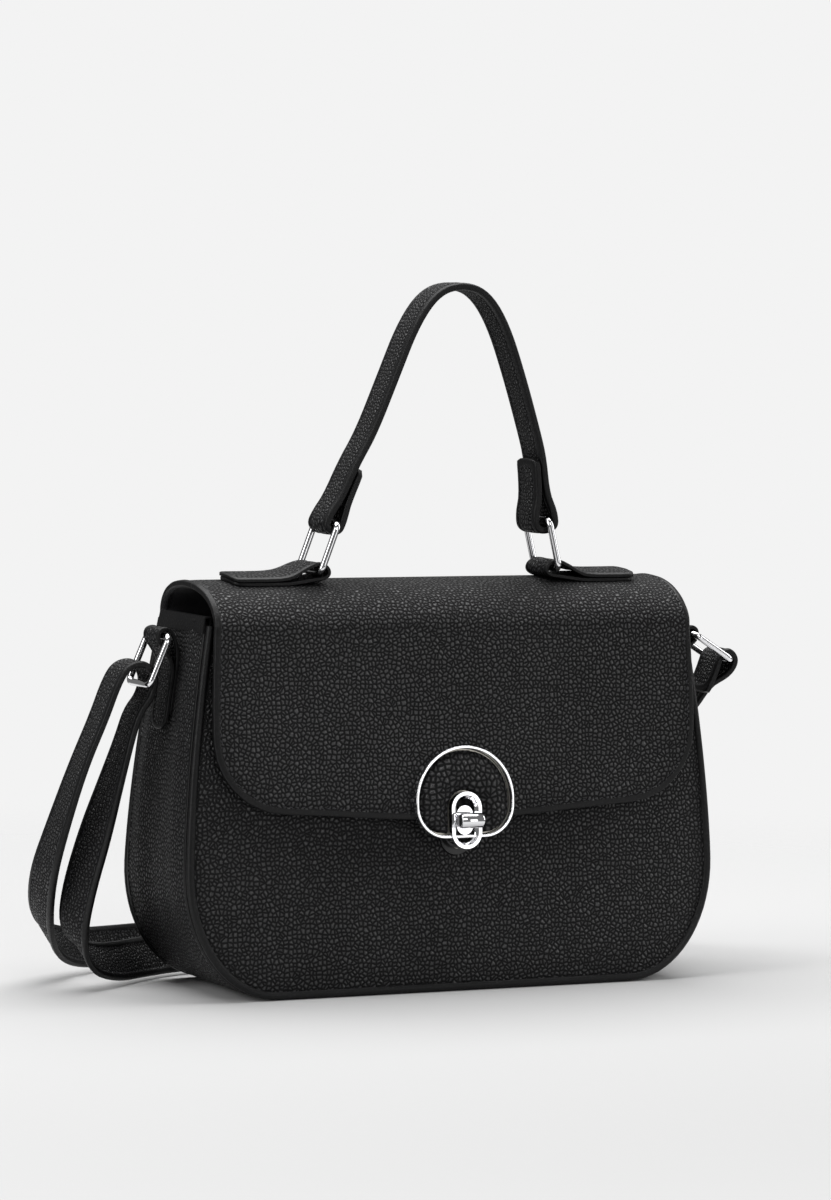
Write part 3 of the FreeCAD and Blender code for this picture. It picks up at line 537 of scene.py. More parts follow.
def roll_edge_and_channel(half_thickness, crown):
    """Insets an open sheet from its edge at the glued line up to its finished face."""
    pick_all_faces()
    bpy.ops.mesh.inset(thickness=0.04 * MM, depth=half_thickness * 0.55)
    bpy.ops.mesh.inset(thickness=half_thickness * 0.38, depth=half_thickness * 0.38)
    bpy.ops.mesh.inset(thickness=half_thickness * 0.5, depth=half_thickness * 0.07)
    bpy.ops.mesh.inset(thickness=BORDER / 2, depth=BORDER_SWELL)
    bpy.ops.mesh.inset(thickness=BORDER / 2, depth=-BORDER_SWELL / 2)
    mark_rim(bpy.context.object)
    bpy.ops.mesh.inset(thickness=CHANNEL, depth=-CHANNEL_DEPTH - BORDER_SWELL / 2)
    bpy.ops.mesh.inset(thickness=CHANNEL, depth=CHANNEL_DEPTH)
    if crown:
        bpy.ops.mesh.inset(thickness=CROWN_INSET, depth=crown)


def mark_rim(piece):
    """Gives the second material slot to everything outside the selected middle of an open sheet."""
    mesh = bmesh.from_edit_mesh(piece.data)
    for face in mesh.faces:
        face.material_index = 0 if face.select else 1
    bmesh.update_edit_mesh(piece.data)


def pick_all_faces():
    bpy.ops.mesh.select_mode(type="FACE")
    bpy.ops.mesh.select_all(action="SELECT")


def flat_leather(name, length, width, thickness, corners=(0.0, 0.0), outline=None, cuts=(), long_cuts=(),
                 crown=0.0):
    """A flat piece of leather from x 0 to length, centred on y and z, closed and smooth."""
    piece = start(name, bpy.ops.mesh.primitive_plane_add, size=1)
    bpy.ops.transform.resize(value=(length, width, 1), center_override=(0, 0, 0))
    bpy.ops.transform.translate(value=(length / 2, 0, 0))
    for end, radius in zip((0.0, length), corners):
        if radius:
            round_corners(piece, end, radius)
    if outline:
        outline(piece)
    roll_edge_and_channel(thickness / 2, crown)
    cut_at([(x, 0, 0) for x in cuts], (1, 0, 0))
    cut_at([(0, y, 0) for y in long_cuts], (0, 1, 0))
    done(piece, ("MIRROR", {"use_axis": (False, False, True), "use_clip": True, "merge_threshold": 1e-6}))
    draw_in_glued_line(piece)
    return keep_flat_places(done(piece, ("SUBSURF", ONE_LEVEL)))


def draw_in_glued_line(piece):
    take(piece)
    bpy.ops.object.mode_set(mode="EDIT")
    bpy.ops.mesh.select_all(action="SELECT")
    bpy.ops.mesh.normals_make_consistent(inside=False)
    pick(piece, "verts", lambda place, normal: abs(place.z) < 1e-6)
    bpy.ops.transform.shrink_fatten(value=-LAYER_GAP)


# %% [markdown]
# ## Stitches
# One stitch is a short, fat bead of thread whose two ends dive into the leather.  It is modelled once and
# copied along the channel while the leather is still flat, so it bends with the leather afterwards.

# %% Sewing
STITCH = (2.1 * MM, 0.75 * MM, 0.7 * MM)       # length, width and height of the part that shows
STITCH_PITCH = 2.9 * MM

bead = start("stitch_bead", bpy.ops.mesh.primitive_uv_sphere_add, segments=6, ring_count=4, radius=0.5,
             rotation=(0, math.pi / 2, 0))
done(bead)
bead_points = np.array([v.co for v in bead.data.vertices]) * STITCH
bead_faces = [list(face.vertices) for face in bead.data.polygons]
bpy.data.objects.remove(bead)


def stitches(name, rows, height, both_sides=False, pitch=STITCH_PITCH):
    """Beads along flat rows of points; each row is a list of (x, y) in metres."""
    points, faces = [], []
    for row in rows:
        row = np.array([(x, y, 0.0) for x, y in row])
        along = lengths_along(row)
        count = max(int(along[-1] / pitch), 1)
        for number in range(count):
            middle, ahead_of = [np.array([np.interp((number + part) * along[-1] / count, along, row[:, k])
                                          for k in range(3)]) for part in (0.5, 0.6)]
            head = unit(ahead_of - middle)
            turn = np.array([[head[0], -head[1], 0], [head[1], head[0], 0], [0, 0, 1]])
            for face_side in ((1, -1) if both_sides else (1,)):
                first = len(points)
                points += list(bead_points @ turn.T + middle + (0, 0, face_side * height))
                faces += [[first + corner for corner in face] for face in bead_faces]
    mesh = bpy.data.meshes.new(name)
    mesh.from_pydata(points, [], faces)
    mesh.validate()
    piece = bpy.data.objects.new(name, mesh)
    bpy.context.collection.objects.link(piece)
    return dressed(piece, thread)


def channel_rows(length, width, corners=(0.0, 0.0), thickness=2.6 * MM, closed_ends=(True, True)):
    """The line of the stitch channel of a flat piece: both long sides, and the ends if they are sewn."""
    inset = thickness * 0.46 + BORDER + CHANNEL
    half = width / 2 - inset
    near = [(inset, 0.0)] + corner_arc(inset, half, corners[0], inset, -1)
    far = corner_arc(length - inset, half, corners[1], inset, 1) + [(length - inset, 0.0)]
    row = (near if closed_ends[0] else near[1:]) + (far if closed_ends[1] else far[:-1])
    return [row, [(x, -y) for x, y in row]]


def corner_arc(x, half, radius, inset, way):
    """Points round one corner of the channel, towards the end for way 1 and away from it for way -1."""
    bend = max(radius - inset, 0.0)
    angles = (0, 22.5, 45, 67.5, 90)
    arc = [(x - way * bend * (1 - math.sin(math.radians(a))), half - bend * (1 - math.cos(math.radians(a))))
           for a in angles]
    return arc if way == 1 else arc[::-1]


def sewn_strap(name, line, across, width, thickness, corners=(0.0, 0.0), crown=0.0):
    """A strap of two glued layers with a stitch line along each edge, laid along its line."""
    length = lengths_along(line)[-1]
    leather = flat_leather(name, length, width, thickness, corners, cuts=bend_cuts(line), crown=crown)
    dressed(leather, strap_leather, turned_leather)
    rows = channel_rows(length, width, corners, thickness)
    sewing = stitches(name + "_thread", rows, thickness / 2 - CHANNEL_DEPTH, both_sides=True)
    strap = joined(name, [leather, sewing])
    bpy.ops.object.shade_smooth_by_angle(angle=SMOOTH_BELOW)
    return lay_along(strap, line, across)


# %% [markdown]
# ## The loose strap
# It is doubled from the slider to the left ring and back, then single to the right ring.  Where it goes
# round a ring it follows the ring, and lower down it follows the bag, so each stretch blends between the two.

# %% Strap pieces
STRAP_WIDTH = 18 * MM
STRAP_THICKNESS = 2.6 * MM
strap_doubled = sewn_strap("strap_doubled", doubled_line, doubled_across, STRAP_WIDTH, STRAP_THICKNESS)
strap_single = sewn_strap("strap_single_run", single_line, single_across, STRAP_WIDTH, STRAP_THICKNESS)
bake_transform(strap_doubled)
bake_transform(strap_single)
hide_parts("strap_outer_leg", "strap_inner_leg", "strap_turn_left")
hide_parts("strap_single", "strap_end_right")
print("strap faces", len(strap_doubled.data.polygons), len(strap_single.data.polygons))

# %% [markdown]
# ## The bag's form
# The front and back are flat panels that lean together towards the mouth, with elliptical lower corners and
# sides that curve in near the top.  Every soft piece has to agree on this form, so it is written once, as
# the design has it, with its size read from the design's own boxes.

# %% Form of the body
rim_low, rim_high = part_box("front_welt")
BODY_HALF = rim_high[0]
BODY_TOP = rim_high[2]
FOOT = -rim_low[1]                  # half the depth of the base
LEAN = 0.0734375                    # how far each panel leans in for each metre up
MOUTH_NARROWING = 11.5 * MM
CORNER_WIDTH = 41 * MM
CORNER_HEIGHT = 52 * MM
SIDE_CURVE = 1.6
RIM_WIDTH = 3.2 * MM
RIM_DEPTH = 3.5 * MM
RIM_SINK = 1.2 * MM                 # the panels start this far behind the rim


def side_x(z):
    """Half the width of the bag at height z."""
    rise = np.clip((z - CORNER_HEIGHT) / (BODY_TOP - CORNER_HEIGHT), 0, None)
    return BODY_HALF - MOUTH_NARROWING * rise ** SIDE_CURVE


def front_y(z, proud=0.0):
    """The plane of the front rim at height z, or one that stands proud of it."""
    return -(FOOT - LEAN * z) - proud


def around_the_body(inset, top=BODY_TOP):
    """The line from the left of the mouth down, under the base and up to the right, seen from the front."""
    heights = np.linspace(top, CORNER_HEIGHT, 24)
    side = np.stack([-(side_x(heights) - inset), 0 * heights, heights], axis=1)
    turn = np.radians(np.linspace(90, 0, 19))[1:]
    centre = BODY_HALF - CORNER_WIDTH
    corner = np.stack([-centre - (CORNER_WIDTH - inset) * np.sin(turn), 0 * turn,
                       CORNER_HEIGHT - (CORNER_HEIGHT - inset) * np.cos(turn)], axis=1)
    half = np.concatenate((side, corner))
    return np.concatenate((half, (half * (-1, 1, 1))[::-1]))


def soft_waves(places, depth):
    """Slow swells, a few centimetres across, such as any stiffened leather has."""
    x, y, z = places.T / 0.058
    slow = np.sin(2.1 * x + 1.3 * z + 0.4) * np.cos(1.7 * z - 0.6 * y)
    return depth * (slow + 0.5 * np.sin(3.3 * z + 2.2 * x + 1.1))


print("body, mm", round(2 * BODY_HALF / MM), round(BODY_TOP / MM), round(2 * FOOT / MM))

# %% [markdown]
# ## Front and back panels
# Each panel is a sheet of leather on a thin stiffener, sewn in just behind the rim, so it swells gently
# between its seams.  A plane gets its two lower corners beveled.  A bevel only makes round corners, and
# these are taller than they are wide, so the plane is stretched first, beveled, and squeezed back.  Insets
# then walk in from the seam, each one lifted a little, and straight cuts give the middle its points.

# %% Panels
SQUEEZE = CORNER_WIDTH / CORNER_HEIGHT
SWELL = ((1.5, 0.35), (3.0, 0.55), (6.0, 0.65), (9.0, 0.45), (7.0, 0.15))       # inset and lift, in mm
LOCK_HEIGHT = 73 * MM
PANEL_THICKNESS = 2.0 * MM


def panel(name, toward):
    """The front panel for toward -1 and the back panel for toward 1."""
    piece = start(name, bpy.ops.mesh.primitive_plane_add, size=1, rotation=(math.pi / 2, 0, 0))
    bpy.ops.transform.resize(value=(2 * BODY_HALF / SQUEEZE, 1, BODY_TOP), center_override=(0, 0, 0))
    bpy.ops.transform.translate(value=(0, 0, BODY_TOP / 2))
    pick(piece, "verts", lambda place, normal: place.z < 1e-6)
    bpy.ops.mesh.bevel(offset=CORNER_HEIGHT, segments=18, profile=0.5, affect="VERTICES")
    bpy.ops.mesh.select_all(action="SELECT")
    bpy.ops.transform.resize(value=(SQUEEZE, 1, 1), center_override=(0, 0, 0))
    pick_all_faces()
    bpy.ops.mesh.inset(thickness=RIM_WIDTH + 0.1 * MM, depth=0)
    bpy.ops.mesh.select_all(action="INVERT")
    bpy.ops.mesh.delete(type="FACE")
    pick_all_faces()
    for walk, lift in SWELL:
        bpy.ops.mesh.inset(thickness=walk * MM, depth=lift * MM)
    cut_at([(x * MM, 0, 0) for x in range(-110, 111, 11)], (1, 0, 0))
    cut_at([(0, 0, z * MM) for z in range(14, 158, 11)], (0, 0, 1))
    keep_flat_places(done(piece, ("SUBSURF", ONE_LEVEL)), 0, 2)

    def rule(places, normals):
        x, y, z = places.T
        dimple = 1 - 0.95 * np.exp(-(x ** 2 + (z - LOCK_HEIGHT) ** 2) / (24 * MM) ** 2)
        lift = y * (dimple if toward < 0 else 1) - np.abs(soft_waves(places, 0.25 * MM)) * dimple
        across = x * side_x(z) / BODY_HALF
        return np.stack([across, -toward * (front_y(z, -RIM_SINK) + lift), z], axis=1)
    move_points(piece, rule)
    take(piece)
    bpy.ops.object.mode_set(mode="EDIT")
    bpy.ops.mesh.select_all(action="SELECT")
    if toward > 0:
        bpy.ops.mesh.flip_normals()
    done(piece, ("SOLIDIFY", {"thickness": PANEL_THICKNESS, "offset": -1}))
    bpy.ops.object.shade_smooth_by_angle(angle=SMOOTH_BELOW)
    dressed(piece, body_leather)
    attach(piece, "bag_body")
    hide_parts("front_panel" if toward < 0 else "back_panel")
    print(name, "faces", len(piece.data.polygons))
    return piece


panel("front_panel_leather", -1)
panel("back_panel_leather", 1)

# %% [markdown]
# ## Gusset
# The gusset is the long strip that makes the sides and the bottom.  It is cut flat as one band, its edges
# are rolled and channelled like a strap's, and then it is bent around the outline.  It stands out softly
# on each side of the strap tab and sinks between, so the flat band is swelled before it is bent, and it is
# narrowed towards the mouth afterwards.

# %% Gusset
GUSSET_THICKNESS = 2.0 * MM
gusset_line = around_the_body(GUSSET_THICKNESS / 2)
gusset_length = lengths_along(gusset_line)[-1]
gusset_width = 2 * (FOOT - RIM_DEPTH)
gusset_across = np.tile((0.0, -1.0, 0.0), (len(gusset_line), 1))

gusset = flat_leather("gusset_leather", gusset_length, gusset_width, GUSSET_THICKNESS,
                      cuts=bend_cuts(gusset_line, most_turn=7.0, most_length=0.009),
                      long_cuts=[y * MM for y in (-24, -18, -12, -6, 0, 6, 12, 18, 24)])
dressed(gusset, body_leather, turned_leather)
gusset_rows = channel_rows(gusset_length, gusset_width, closed_ends=(False, False), thickness=GUSSET_THICKNESS)
gusset_thread = stitches("gusset_thread", gusset_rows,
                         GUSSET_THICKNESS / 2 - CHANNEL_DEPTH - 0.15 * MM, pitch=3.1 * MM)
gusset = joined("gusset_leather", [gusset, gusset_thread])
bpy.ops.object.shade_smooth_by_angle(angle=SMOOTH_BELOW)


UPRIGHT = (62, 58)                  # middle and spread of each hump, in mm: along the sides,
PILLOW = (20, 7.5)                  # each side of the strap tab,
CORNER_ALONG, CORNER_ACROSS = (128, 24), (6, 16)     # and the hollow at each lower corner


def hump(places, middle, spread):
    return np.exp(-((places - middle * MM) / (spread * MM)) ** 2)


def swell_gusset(places, normals):
    x, y, z = places.T
    from_end = np.minimum(x, gusset_length - x)
    upright = hump(from_end, *UPRIGHT)
    pillow = hump(np.abs(y), *PILLOW)
    corner = hump(from_end, *CORNER_ALONG) * hump(np.abs(y), *CORNER_ACROSS)
    lift = 1.5 * MM * pillow * upright - 1.6 * MM * corner + soft_waves(places[:, [0, 2, 1]], 0.22 * MM)
    return np.stack([x, y, z + lift * (np.abs(y) < gusset_width / 2 - 1 * MM)], axis=1)


move_points(gusset, swell_gusset)
lay_along(gusset, gusset_line, gusset_across)


def narrowed(places, normals):
    """Draws the gusset in towards the mouth, as the two panels lean together."""
    share = (-front_y(places[:, 2]) - RIM_DEPTH) / (FOOT - RIM_DEPTH)
    return places * np.stack([np.ones(len(places)), share, np.ones(len(places))], axis=1)


move_points(gusset, narrowed)
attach(gusset, "bag_body")
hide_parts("gusset")
print("gusset, mm", round(gusset_length / MM), "by", round(gusset_width / MM))

# %% [markdown]
# ## Rims
# Where a panel meets the gusset, both are sewn together with a strip of leather folded over a cord between
# them.  That piping is what draws the outline of the bag.  A curve with a round section is the natural way
# to make it: the curve follows the outline and the section gives the cord, and then it becomes a mesh.

# %% Piping
def piping(name, line, radius):
    """A round cord of leather along a line of points, closed at its ends."""
    clear_selection()
    curve = bpy.data.curves.new(name, "CURVE")
    curve.dimensions = "3D"
    spline = curve.splines.new("POLY")
    spline.points.add(len(line) - 1)
    for knot, point in zip(spline.points, line):
        knot.co = (*point, 1)
    curve.bevel_depth = radius
    curve.bevel_resolution = 4
    curve.use_fill_caps = True
    piece = bpy.data.objects.new(name, curve)
    bpy.context.collection.objects.link(piece)
    take(piece)
    bpy.ops.object.convert(target="MESH")
    piece = done(bpy.context.object, ("WELD", {"merge_threshold": 1e-6}))
    bpy.ops.object.shade_smooth_by_angle(angle=SMOOTH_BELOW)
    return piece


PIPE_RADIUS = 1.8 * MM
PIPE_TOP = BODY_TOP - 3 * MM        # short of the mouth, so that the folding flap clears it
for name, toward, node in (("front_rim_piping", -1, "front_welt"), ("rear_rim_piping", 1, "rear_welt")):
    rim_line = around_the_body(PIPE_RADIUS, PIPE_TOP)
    rim_line[:, 1] = -toward * front_y(rim_line[:, 2], -PIPE_RADIUS)
    rim = dressed(piping(name, rim_line, PIPE_RADIUS), turned_leather)
    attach(rim, "bag_body")
    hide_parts(node)
print("piping", round(lengths_along(rim_line)[-1] / MM), "mm long")

# %% [markdown]
# ## Flap
# The flap is cut as one flat piece, 229 mm wide, with two large round corners and a bottom edge that bows
# out a little.  It starts on the back panel, goes over the mouth and hangs down the front.  It is bent over
# its own line, which is a curve through the design's points, so that it lies exactly where the design's
# flap is.  In the frame the top of the flap and its hanging front turn on different joints, so the finished
# flap is cut in two across the crown, under the handle tabs.

# %% Flap line and cut
FLAP_THICKNESS = 2.8 * MM
FLAP_PROUD = 5.2 * MM
FLAP_WIDTH = 229 * MM
FLAP_CORNERS = (6 * MM, 32 * MM)    # at the back and at the bottom edge
FLAP_TOP_WIDTH = 225 * MM
FLAP_BOW = 5.2 * MM
FLAP_SIDE_END = 78.6 * MM           # height of the bottom edge where its corners start
TAIL_PROUD = 2.9 * MM
ARCH = ((28.9, 158.5), (28.4, 162.5), (25.8, 167.4), (19.5, 171.8), (9.5, 174.1), (-2.0, 174.2),
        (-13.0, 172.6), (-22.5, 168.9), (-29.0, 163.8))

tail = [(0, -front_y(z * MM, TAIL_PROUD), z * MM) for z in (140, 147, 154)]
arch = [(0, y * MM, z * MM) for y, z in ARCH]
hanging = [(0, front_y(z * MM, FLAP_PROUD), z * MM) for z in (158, 154, 140, 120, 100, 73.4)]
flap_line = spline_points(tail + arch + hanging, "BEZIER", 10)
flap_along = lengths_along(flap_line)
flap_length = np.interp(-FLAP_SIDE_END, -flap_line[-12:, 2], flap_along[-12:])
flap_across = np.tile((1.0, 0.0, 0.0), (len(flap_line), 1))
crown_at = flap_along[np.argmax(flap_line[:, 2])]


def flap_cut(x, y):
    """Where a point of a plain rectangle goes when the flap's real outline is drawn on it."""
    bow = FLAP_BOW * np.cos(np.pi / 2 * np.clip(y / (105 * MM), -1, 1)) ** 2
    near_bottom = np.clip((x - crown_at - 40 * MM) / (flap_length - crown_at - 40 * MM), 0, 1) ** 2
    widening = np.clip((x - crown_at - 30 * MM) / (45 * MM), 0, 1)
    width = FLAP_TOP_WIDTH + (FLAP_WIDTH - FLAP_TOP_WIDTH) * widening
    return x + bow * near_bottom, y * width / FLAP_WIDTH


def evenly_spaced(row, count=160):
    """The same line with its points spread evenly along it."""
    row = np.array(row)
    along = lengths_along(row)
    spots = np.linspace(0, along[-1], count)
    return np.stack([np.interp(spots, along, row[:, k]) for k in (0, 1)], axis=1)


def draw_flap_outline(piece):
    pick(piece, "edges", lambda place, normal: place.x > flap_length - 1e-6)
    bpy.ops.mesh.subdivide(number_cuts=23)
    pick(piece, "edges", lambda place, normal: abs(place.y) > FLAP_WIDTH / 2 - 1e-6)
    bpy.ops.mesh.subdivide(number_cuts=23)
    mesh = bmesh.from_edit_mesh(piece.data)
    for point in mesh.verts:
        point.co.x, point.co.y = flap_cut(point.co.x, point.co.y)
    bmesh.update_edit_mesh(piece.data)


flap = flat_leather("flap_leather", flap_length, FLAP_WIDTH, FLAP_THICKNESS, FLAP_CORNERS,
                    draw_flap_outline, cuts=bend_cuts(flap_line, most_turn=6.0, most_length=0.008),
                    long_cuts=[y * MM for y in range(-100, 101, 10)])
dressed(flap, body_leather, turned_leather, lining_cloth)
for face in flap.data.polygons:
    if face.normal.z < -0.9 and face.center.z < -FLAP_THICKNESS * 0.3:
        face.material_index = 2
rows = channel_rows(flap_length, FLAP_WIDTH, FLAP_CORNERS, FLAP_THICKNESS, (True, True))
rows = [[flap_cut(x, y) for x, y in evenly_spaced(row)] for row in rows]
flap_thread = stitches("flap_thread", rows, FLAP_THICKNESS / 2 - CHANNEL_DEPTH)
for piece in (flap, flap_thread):
    move_points(piece, lambda places, normals: places - (0, 0, FLAP_THICKNESS / 2))
    lay_along(piece, flap_line, flap_across)
print("flap cut, mm", round(flap_length / MM), "by", round(FLAP_WIDTH / MM))

# %% [markdown]
# ## Lock frame of reference
# The two halves of the lock meet on the leaning front, so its pieces are modelled upright round the origin,
# with their face towards -Y, and then leaned and moved to the lock's place.

# %% Placing lock pieces, and the shapes of its outlines
LEAN_ANGLE = math.atan(LEAN)
lock_place = Matrix.Translation((0, front_y(LOCK_HEIGHT), LOCK_HEIGHT)) @ Matrix.Rotation(-LEAN_ANGLE, 4, "X")


def on_front(piece):
    piece.data.transform(lock_place)
    piece.data.update()
    return piece


def oblong(name, width, height, proud):
    """An open upright face with fully round ends."""
    piece = start(name, bpy.ops.mesh.primitive_plane_add, size=1, rotation=(math.pi / 2, 0, 0))
    bpy.ops.transform.resize(value=(width, 1, height), center_override=(0, 0, 0))
    bpy.ops.transform.translate(value=(0, -proud, 0))
    pick(piece, "verts", lambda place, normal: True)
    bpy.ops.mesh.bevel(offset=width / 2 * 0.999, segments=12, profile=0.5, affect="VERTICES")
    return piece


D_HALF_WIDTH = 23.25 * MM
D_TOP = 31.8 * MM
D_BOTTOM = -7.5 * MM
D_CORNER = 14.0 * MM


def rounded_d(name, inset, proud):
    """An open upright face with the lock plate's outline: round above, wide corners below."""
    width, height = 2 * (D_HALF_WIDTH - inset), D_TOP - D_BOTTOM - 2 * inset
    piece = start(name, bpy.ops.mesh.primitive_plane_add, size=1, rotation=(math.pi / 2, 0, 0))
    bpy.ops.transform.resize(value=(width, 1, height), center_override=(0, 0, 0))
    bpy.ops.transform.translate(value=(0, -proud, (D_TOP + D_BOTTOM) / 2))
    middle = (D_TOP + D_BOTTOM) / 2
    pick(piece, "verts", lambda place, normal: place.z > middle)
    bpy.ops.mesh.bevel(offset=width / 2 * 0.999, segments=28, profile=0.5, affect="VERTICES")
    pick(piece, "verts", lambda place, normal: place.z < D_BOTTOM + inset + 1e-6)
    bpy.ops.mesh.bevel(offset=D_CORNER - inset, segments=16, profile=0.5, affect="VERTICES")
    return piece


def push_out(depth):
    """Pushes the open upright face out by depth and closes it into a block."""
    pick_all_faces()
    bpy.ops.mesh.extrude_region_move(TRANSFORM_OT_translate={"value": (0, -depth, 0)})
    bpy.ops.mesh.select_all(action="SELECT")
    bpy.ops.mesh.normals_make_consistent(inside=False)


def ring_of(wall, depth):
    """Turns the open outline face into a ring with that wall, standing out by depth."""
    pick_all_faces()
    bpy.ops.mesh.inset(thickness=wall, depth=0)
    bpy.ops.mesh.delete(type="FACE")
    push_out(depth)


# %% [markdown]
# ## A hole for the lock
# A punch cuts the flap where the collar goes through it.  A Boolean with an oblong block is the same move.

# %% Punching the flap and cutting it in two
COLLAR = (14.2 * MM, 24.4 * MM)
PUNCH_LENGTH = 20 * MM
punch = oblong("punch", COLLAR[0] + 0.2 * MM, COLLAR[1] + 0.2 * MM, -4 * MM)
push_out(PUNCH_LENGTH)
done(punch)
on_front(punch)
done(flap, ("BOOLEAN", {"object": punch, "operation": "DIFFERENCE", "solver": "EXACT"}))
bpy.data.objects.remove(punch)
flap = joined("flap_leather", [flap, flap_thread])
bpy.ops.object.shade_smooth_by_angle(angle=SMOOTH_BELOW)


def half_of(piece, name, place, normal):
    """A copy of a closed piece with everything on the normal's side of a plane cut away."""
    half = piece.copy()
    half.data = piece.data.copy()
    half.name = name
    bpy.context.collection.objects.link(half)
    take(half)
    bpy.ops.object.mode_set(mode="EDIT")
    bpy.ops.mesh.select_all(action="SELECT")
    bpy.ops.mesh.bisect(plane_co=place, plane_no=normal, use_fill=True, clear_outer=True)
    return done(half)


CROWN_CUT = (0, -4.37 * MM, BODY_TOP)
flap_front = half_of(flap, "flap_hanging_leather", CROWN_CUT, (0, 1, 0))
flap_rear = half_of(flap, "flap_crown_leather", CROWN_CUT, (0, -1, 0))
bpy.data.objects.remove(flap)
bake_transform(flap_front)
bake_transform(flap_rear)
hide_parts("flap_front_leather", "flap_front_lining")
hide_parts("flap_top_leather", "flap_top_lining")
print("flap faces", len(flap_front.data.polygons), len(flap_rear.data.polygons))

# %% [markdown]
# ## Handle tabs
# Each tab is one strip, folded round the foot of a ring and sewn down through both layers.  Its lower layer
# runs on past the ring and turns up in a wide drop before it comes back over the wire.

# %% Handle tabs
HANDLE_Y = -4 * MM
RING_FOOT = (57 * MM, 178.4 * MM)
TAB_THICKNESS = 1.6 * MM
crown_z = np.interp(-HANDLE_Y, -flap_line[:, 1], flap_line[:, 2]) / MM
TAB_ROUTE = ((-97, 0.9), (-84, 0.85), (-71, 0.9), (-60, 0.9), (-54.5, 1.3), (-51.8, 3.2), (-52.6, 6.0),
             (-55.6, 7.6), (-59.2, 7.4), (-63.5, 5.9), (-68.5, 3.6), (-74, 2.6), (-85, 2.55), (-96.8, 2.6))


def crown_drop(y):
    """How much lower the flap's crown is at y than under the middle of the handle."""
    order = np.argsort(flap_line[:, 1])
    return np.interp(y, flap_line[order, 1], flap_line[order, 2]) - crown_z * MM


def handle_tab(name, node, side):
    points = [(-side * x * MM, HANDLE_Y, (crown_z + z) * MM) for x, z in TAB_ROUTE]
    line = spline_points(points)
    across = np.tile((0.0, float(side), 0.0), (len(line), 1))
    tab = sewn_strap(name, line, across, 20 * MM, TAB_THICKNESS)
    tab.data.materials[0] = body_leather

    def settle(places, normals):
        x, y, z = places.T
        lying = np.clip((np.abs(x) - 58 * MM) / (12 * MM), 0, 1)
        return np.stack([x, y, z + crown_drop(y) * lying], axis=1)
    move_points(tab, settle)
    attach(tab, "flap_top")
    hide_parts(node)
    return tab


tabs = [handle_tab("handle_tab_left_leather", "handle_tab_left", -1),
        handle_tab("handle_tab_right_leather", "handle_tab_right", 1)]
print("handle tab faces", [len(tab.data.polygons) for tab in tabs])

# %% [markdown]
# ## Side tabs
# The side rings hang from longer, narrower strips sewn down the middle of the gusset, with a round lower end.

# %% Side tabs
SIDE_Y = 3 * MM
TAB_LAYER = 1.5 * MM
OUTER_LAYER = ((111.5, 2.55), (121, 2.5), (131, 2.5), (139, 2.6))       # height and distance off the gusset
INNER_LAYER = ((138, 0.95), (128, 0.9), (117, 0.9))
ROUND_BAR = ((0.6, -4.6), (3.3, -1.6), (2.9, 2.4), (-0.6, 3.3), (-3.6, 1.0))   # from the ring's bar


def side_tab(name, node, side, bar_x, bar_z):
    def on_gusset(z, off):
        return (side * (float(side_x(z * MM)) / MM + off), z)
    outer = [on_gusset(z, off) for z, off in OUTER_LAYER]
    over = [(side * (bar_x + out), bar_z + up) for out, up in ROUND_BAR]
    inner = [on_gusset(z, off) for z, off in ((bar_z - 5, 2.0), *INNER_LAYER)]
    route = outer + over + inner
    line = spline_points([(x * MM, SIDE_Y, z * MM) for x, z in route])
    across = np.tile((0.0, float(side), 0.0), (len(line), 1))
    tab = sewn_strap(name, line, across, 16 * MM, TAB_LAYER, corners=(7 * MM, 0.0))
    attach(tab, "bag_body")
    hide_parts(node)
    return tab


tabs = [side_tab("side_tab_left_leather", "side_tab_left", -1, 123.5, 151.5),
        side_tab("side_tab_right_leather", "side_tab_right", 1, 129.5, 148.0)]
print("side tab faces", [len(tab.data.polygons) for tab in tabs])

# %% [markdown]
# ## Handle
# The handle is a short, firm strap of the same make.  Each end goes round the top bar of its ring and is
# sewn back on the inner side.  The route below is the design's: the bar, the way up, and the crown.

# %% Handle
HANDLE_WIDTH = 18.5 * MM
HANDLE_THICKNESS = 3.0 * MM
RING_HEIGHT = 22.0
CROWN = ((-31.5, 237), (-21.5, 261), (-12.0, 284), (-2.0, 297.5), (10.0, 301.0), (21.5, 297.5), (31.0, 284),
         (39.5, 261), (46.5, 239))


def way(lean):
    """Up, leaned to the right by an angle in degrees."""
    return np.array((math.sin(math.radians(lean)), math.cos(math.radians(lean))))


def round_the_bar(foot_x, ring_lean, strap_lean, outward, loop):
    """The folded end of the handle: up from the sewn-back end, round the bar and on along the handle."""
    bar = np.array((foot_x, RING_FOOT[1] / MM)) + RING_HEIGHT * way(ring_lean)
    heading = way(strap_lean)
    out = np.array((-heading[1], heading[0])) * outward
    layer = HANDLE_THICKNESS / MM / 2 + 0.15
    steps = ((27, -layer), (11, -layer), (3, -loop), (-loop, -loop),
             (-loop, loop), (3, loop), (11, layer), (27, layer))
    return [tuple(bar + heading * along + out * off) for along, off in steps]


left_end = round_the_bar(-57.0, 20.7, 25.0, 1, 3.4)
right_end = round_the_bar(57.0, -13.9, -7.0, -1, 4.6)
handle_route = [(x, HANDLE_Y / MM, z) for x, z in (*left_end, *CROWN, *right_end[::-1])]
handle_line, handle_across = strap_line(handle_route, [(0, 1, 0)] * len(handle_route))
handle = sewn_strap("handle_strap", handle_line, handle_across, HANDLE_WIDTH, HANDLE_THICKNESS,
                    crown=0.25 * MM)
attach(handle, "handle")
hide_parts("handle")
print("handle, mm", round(lengths_along(handle_line)[-1] / MM))

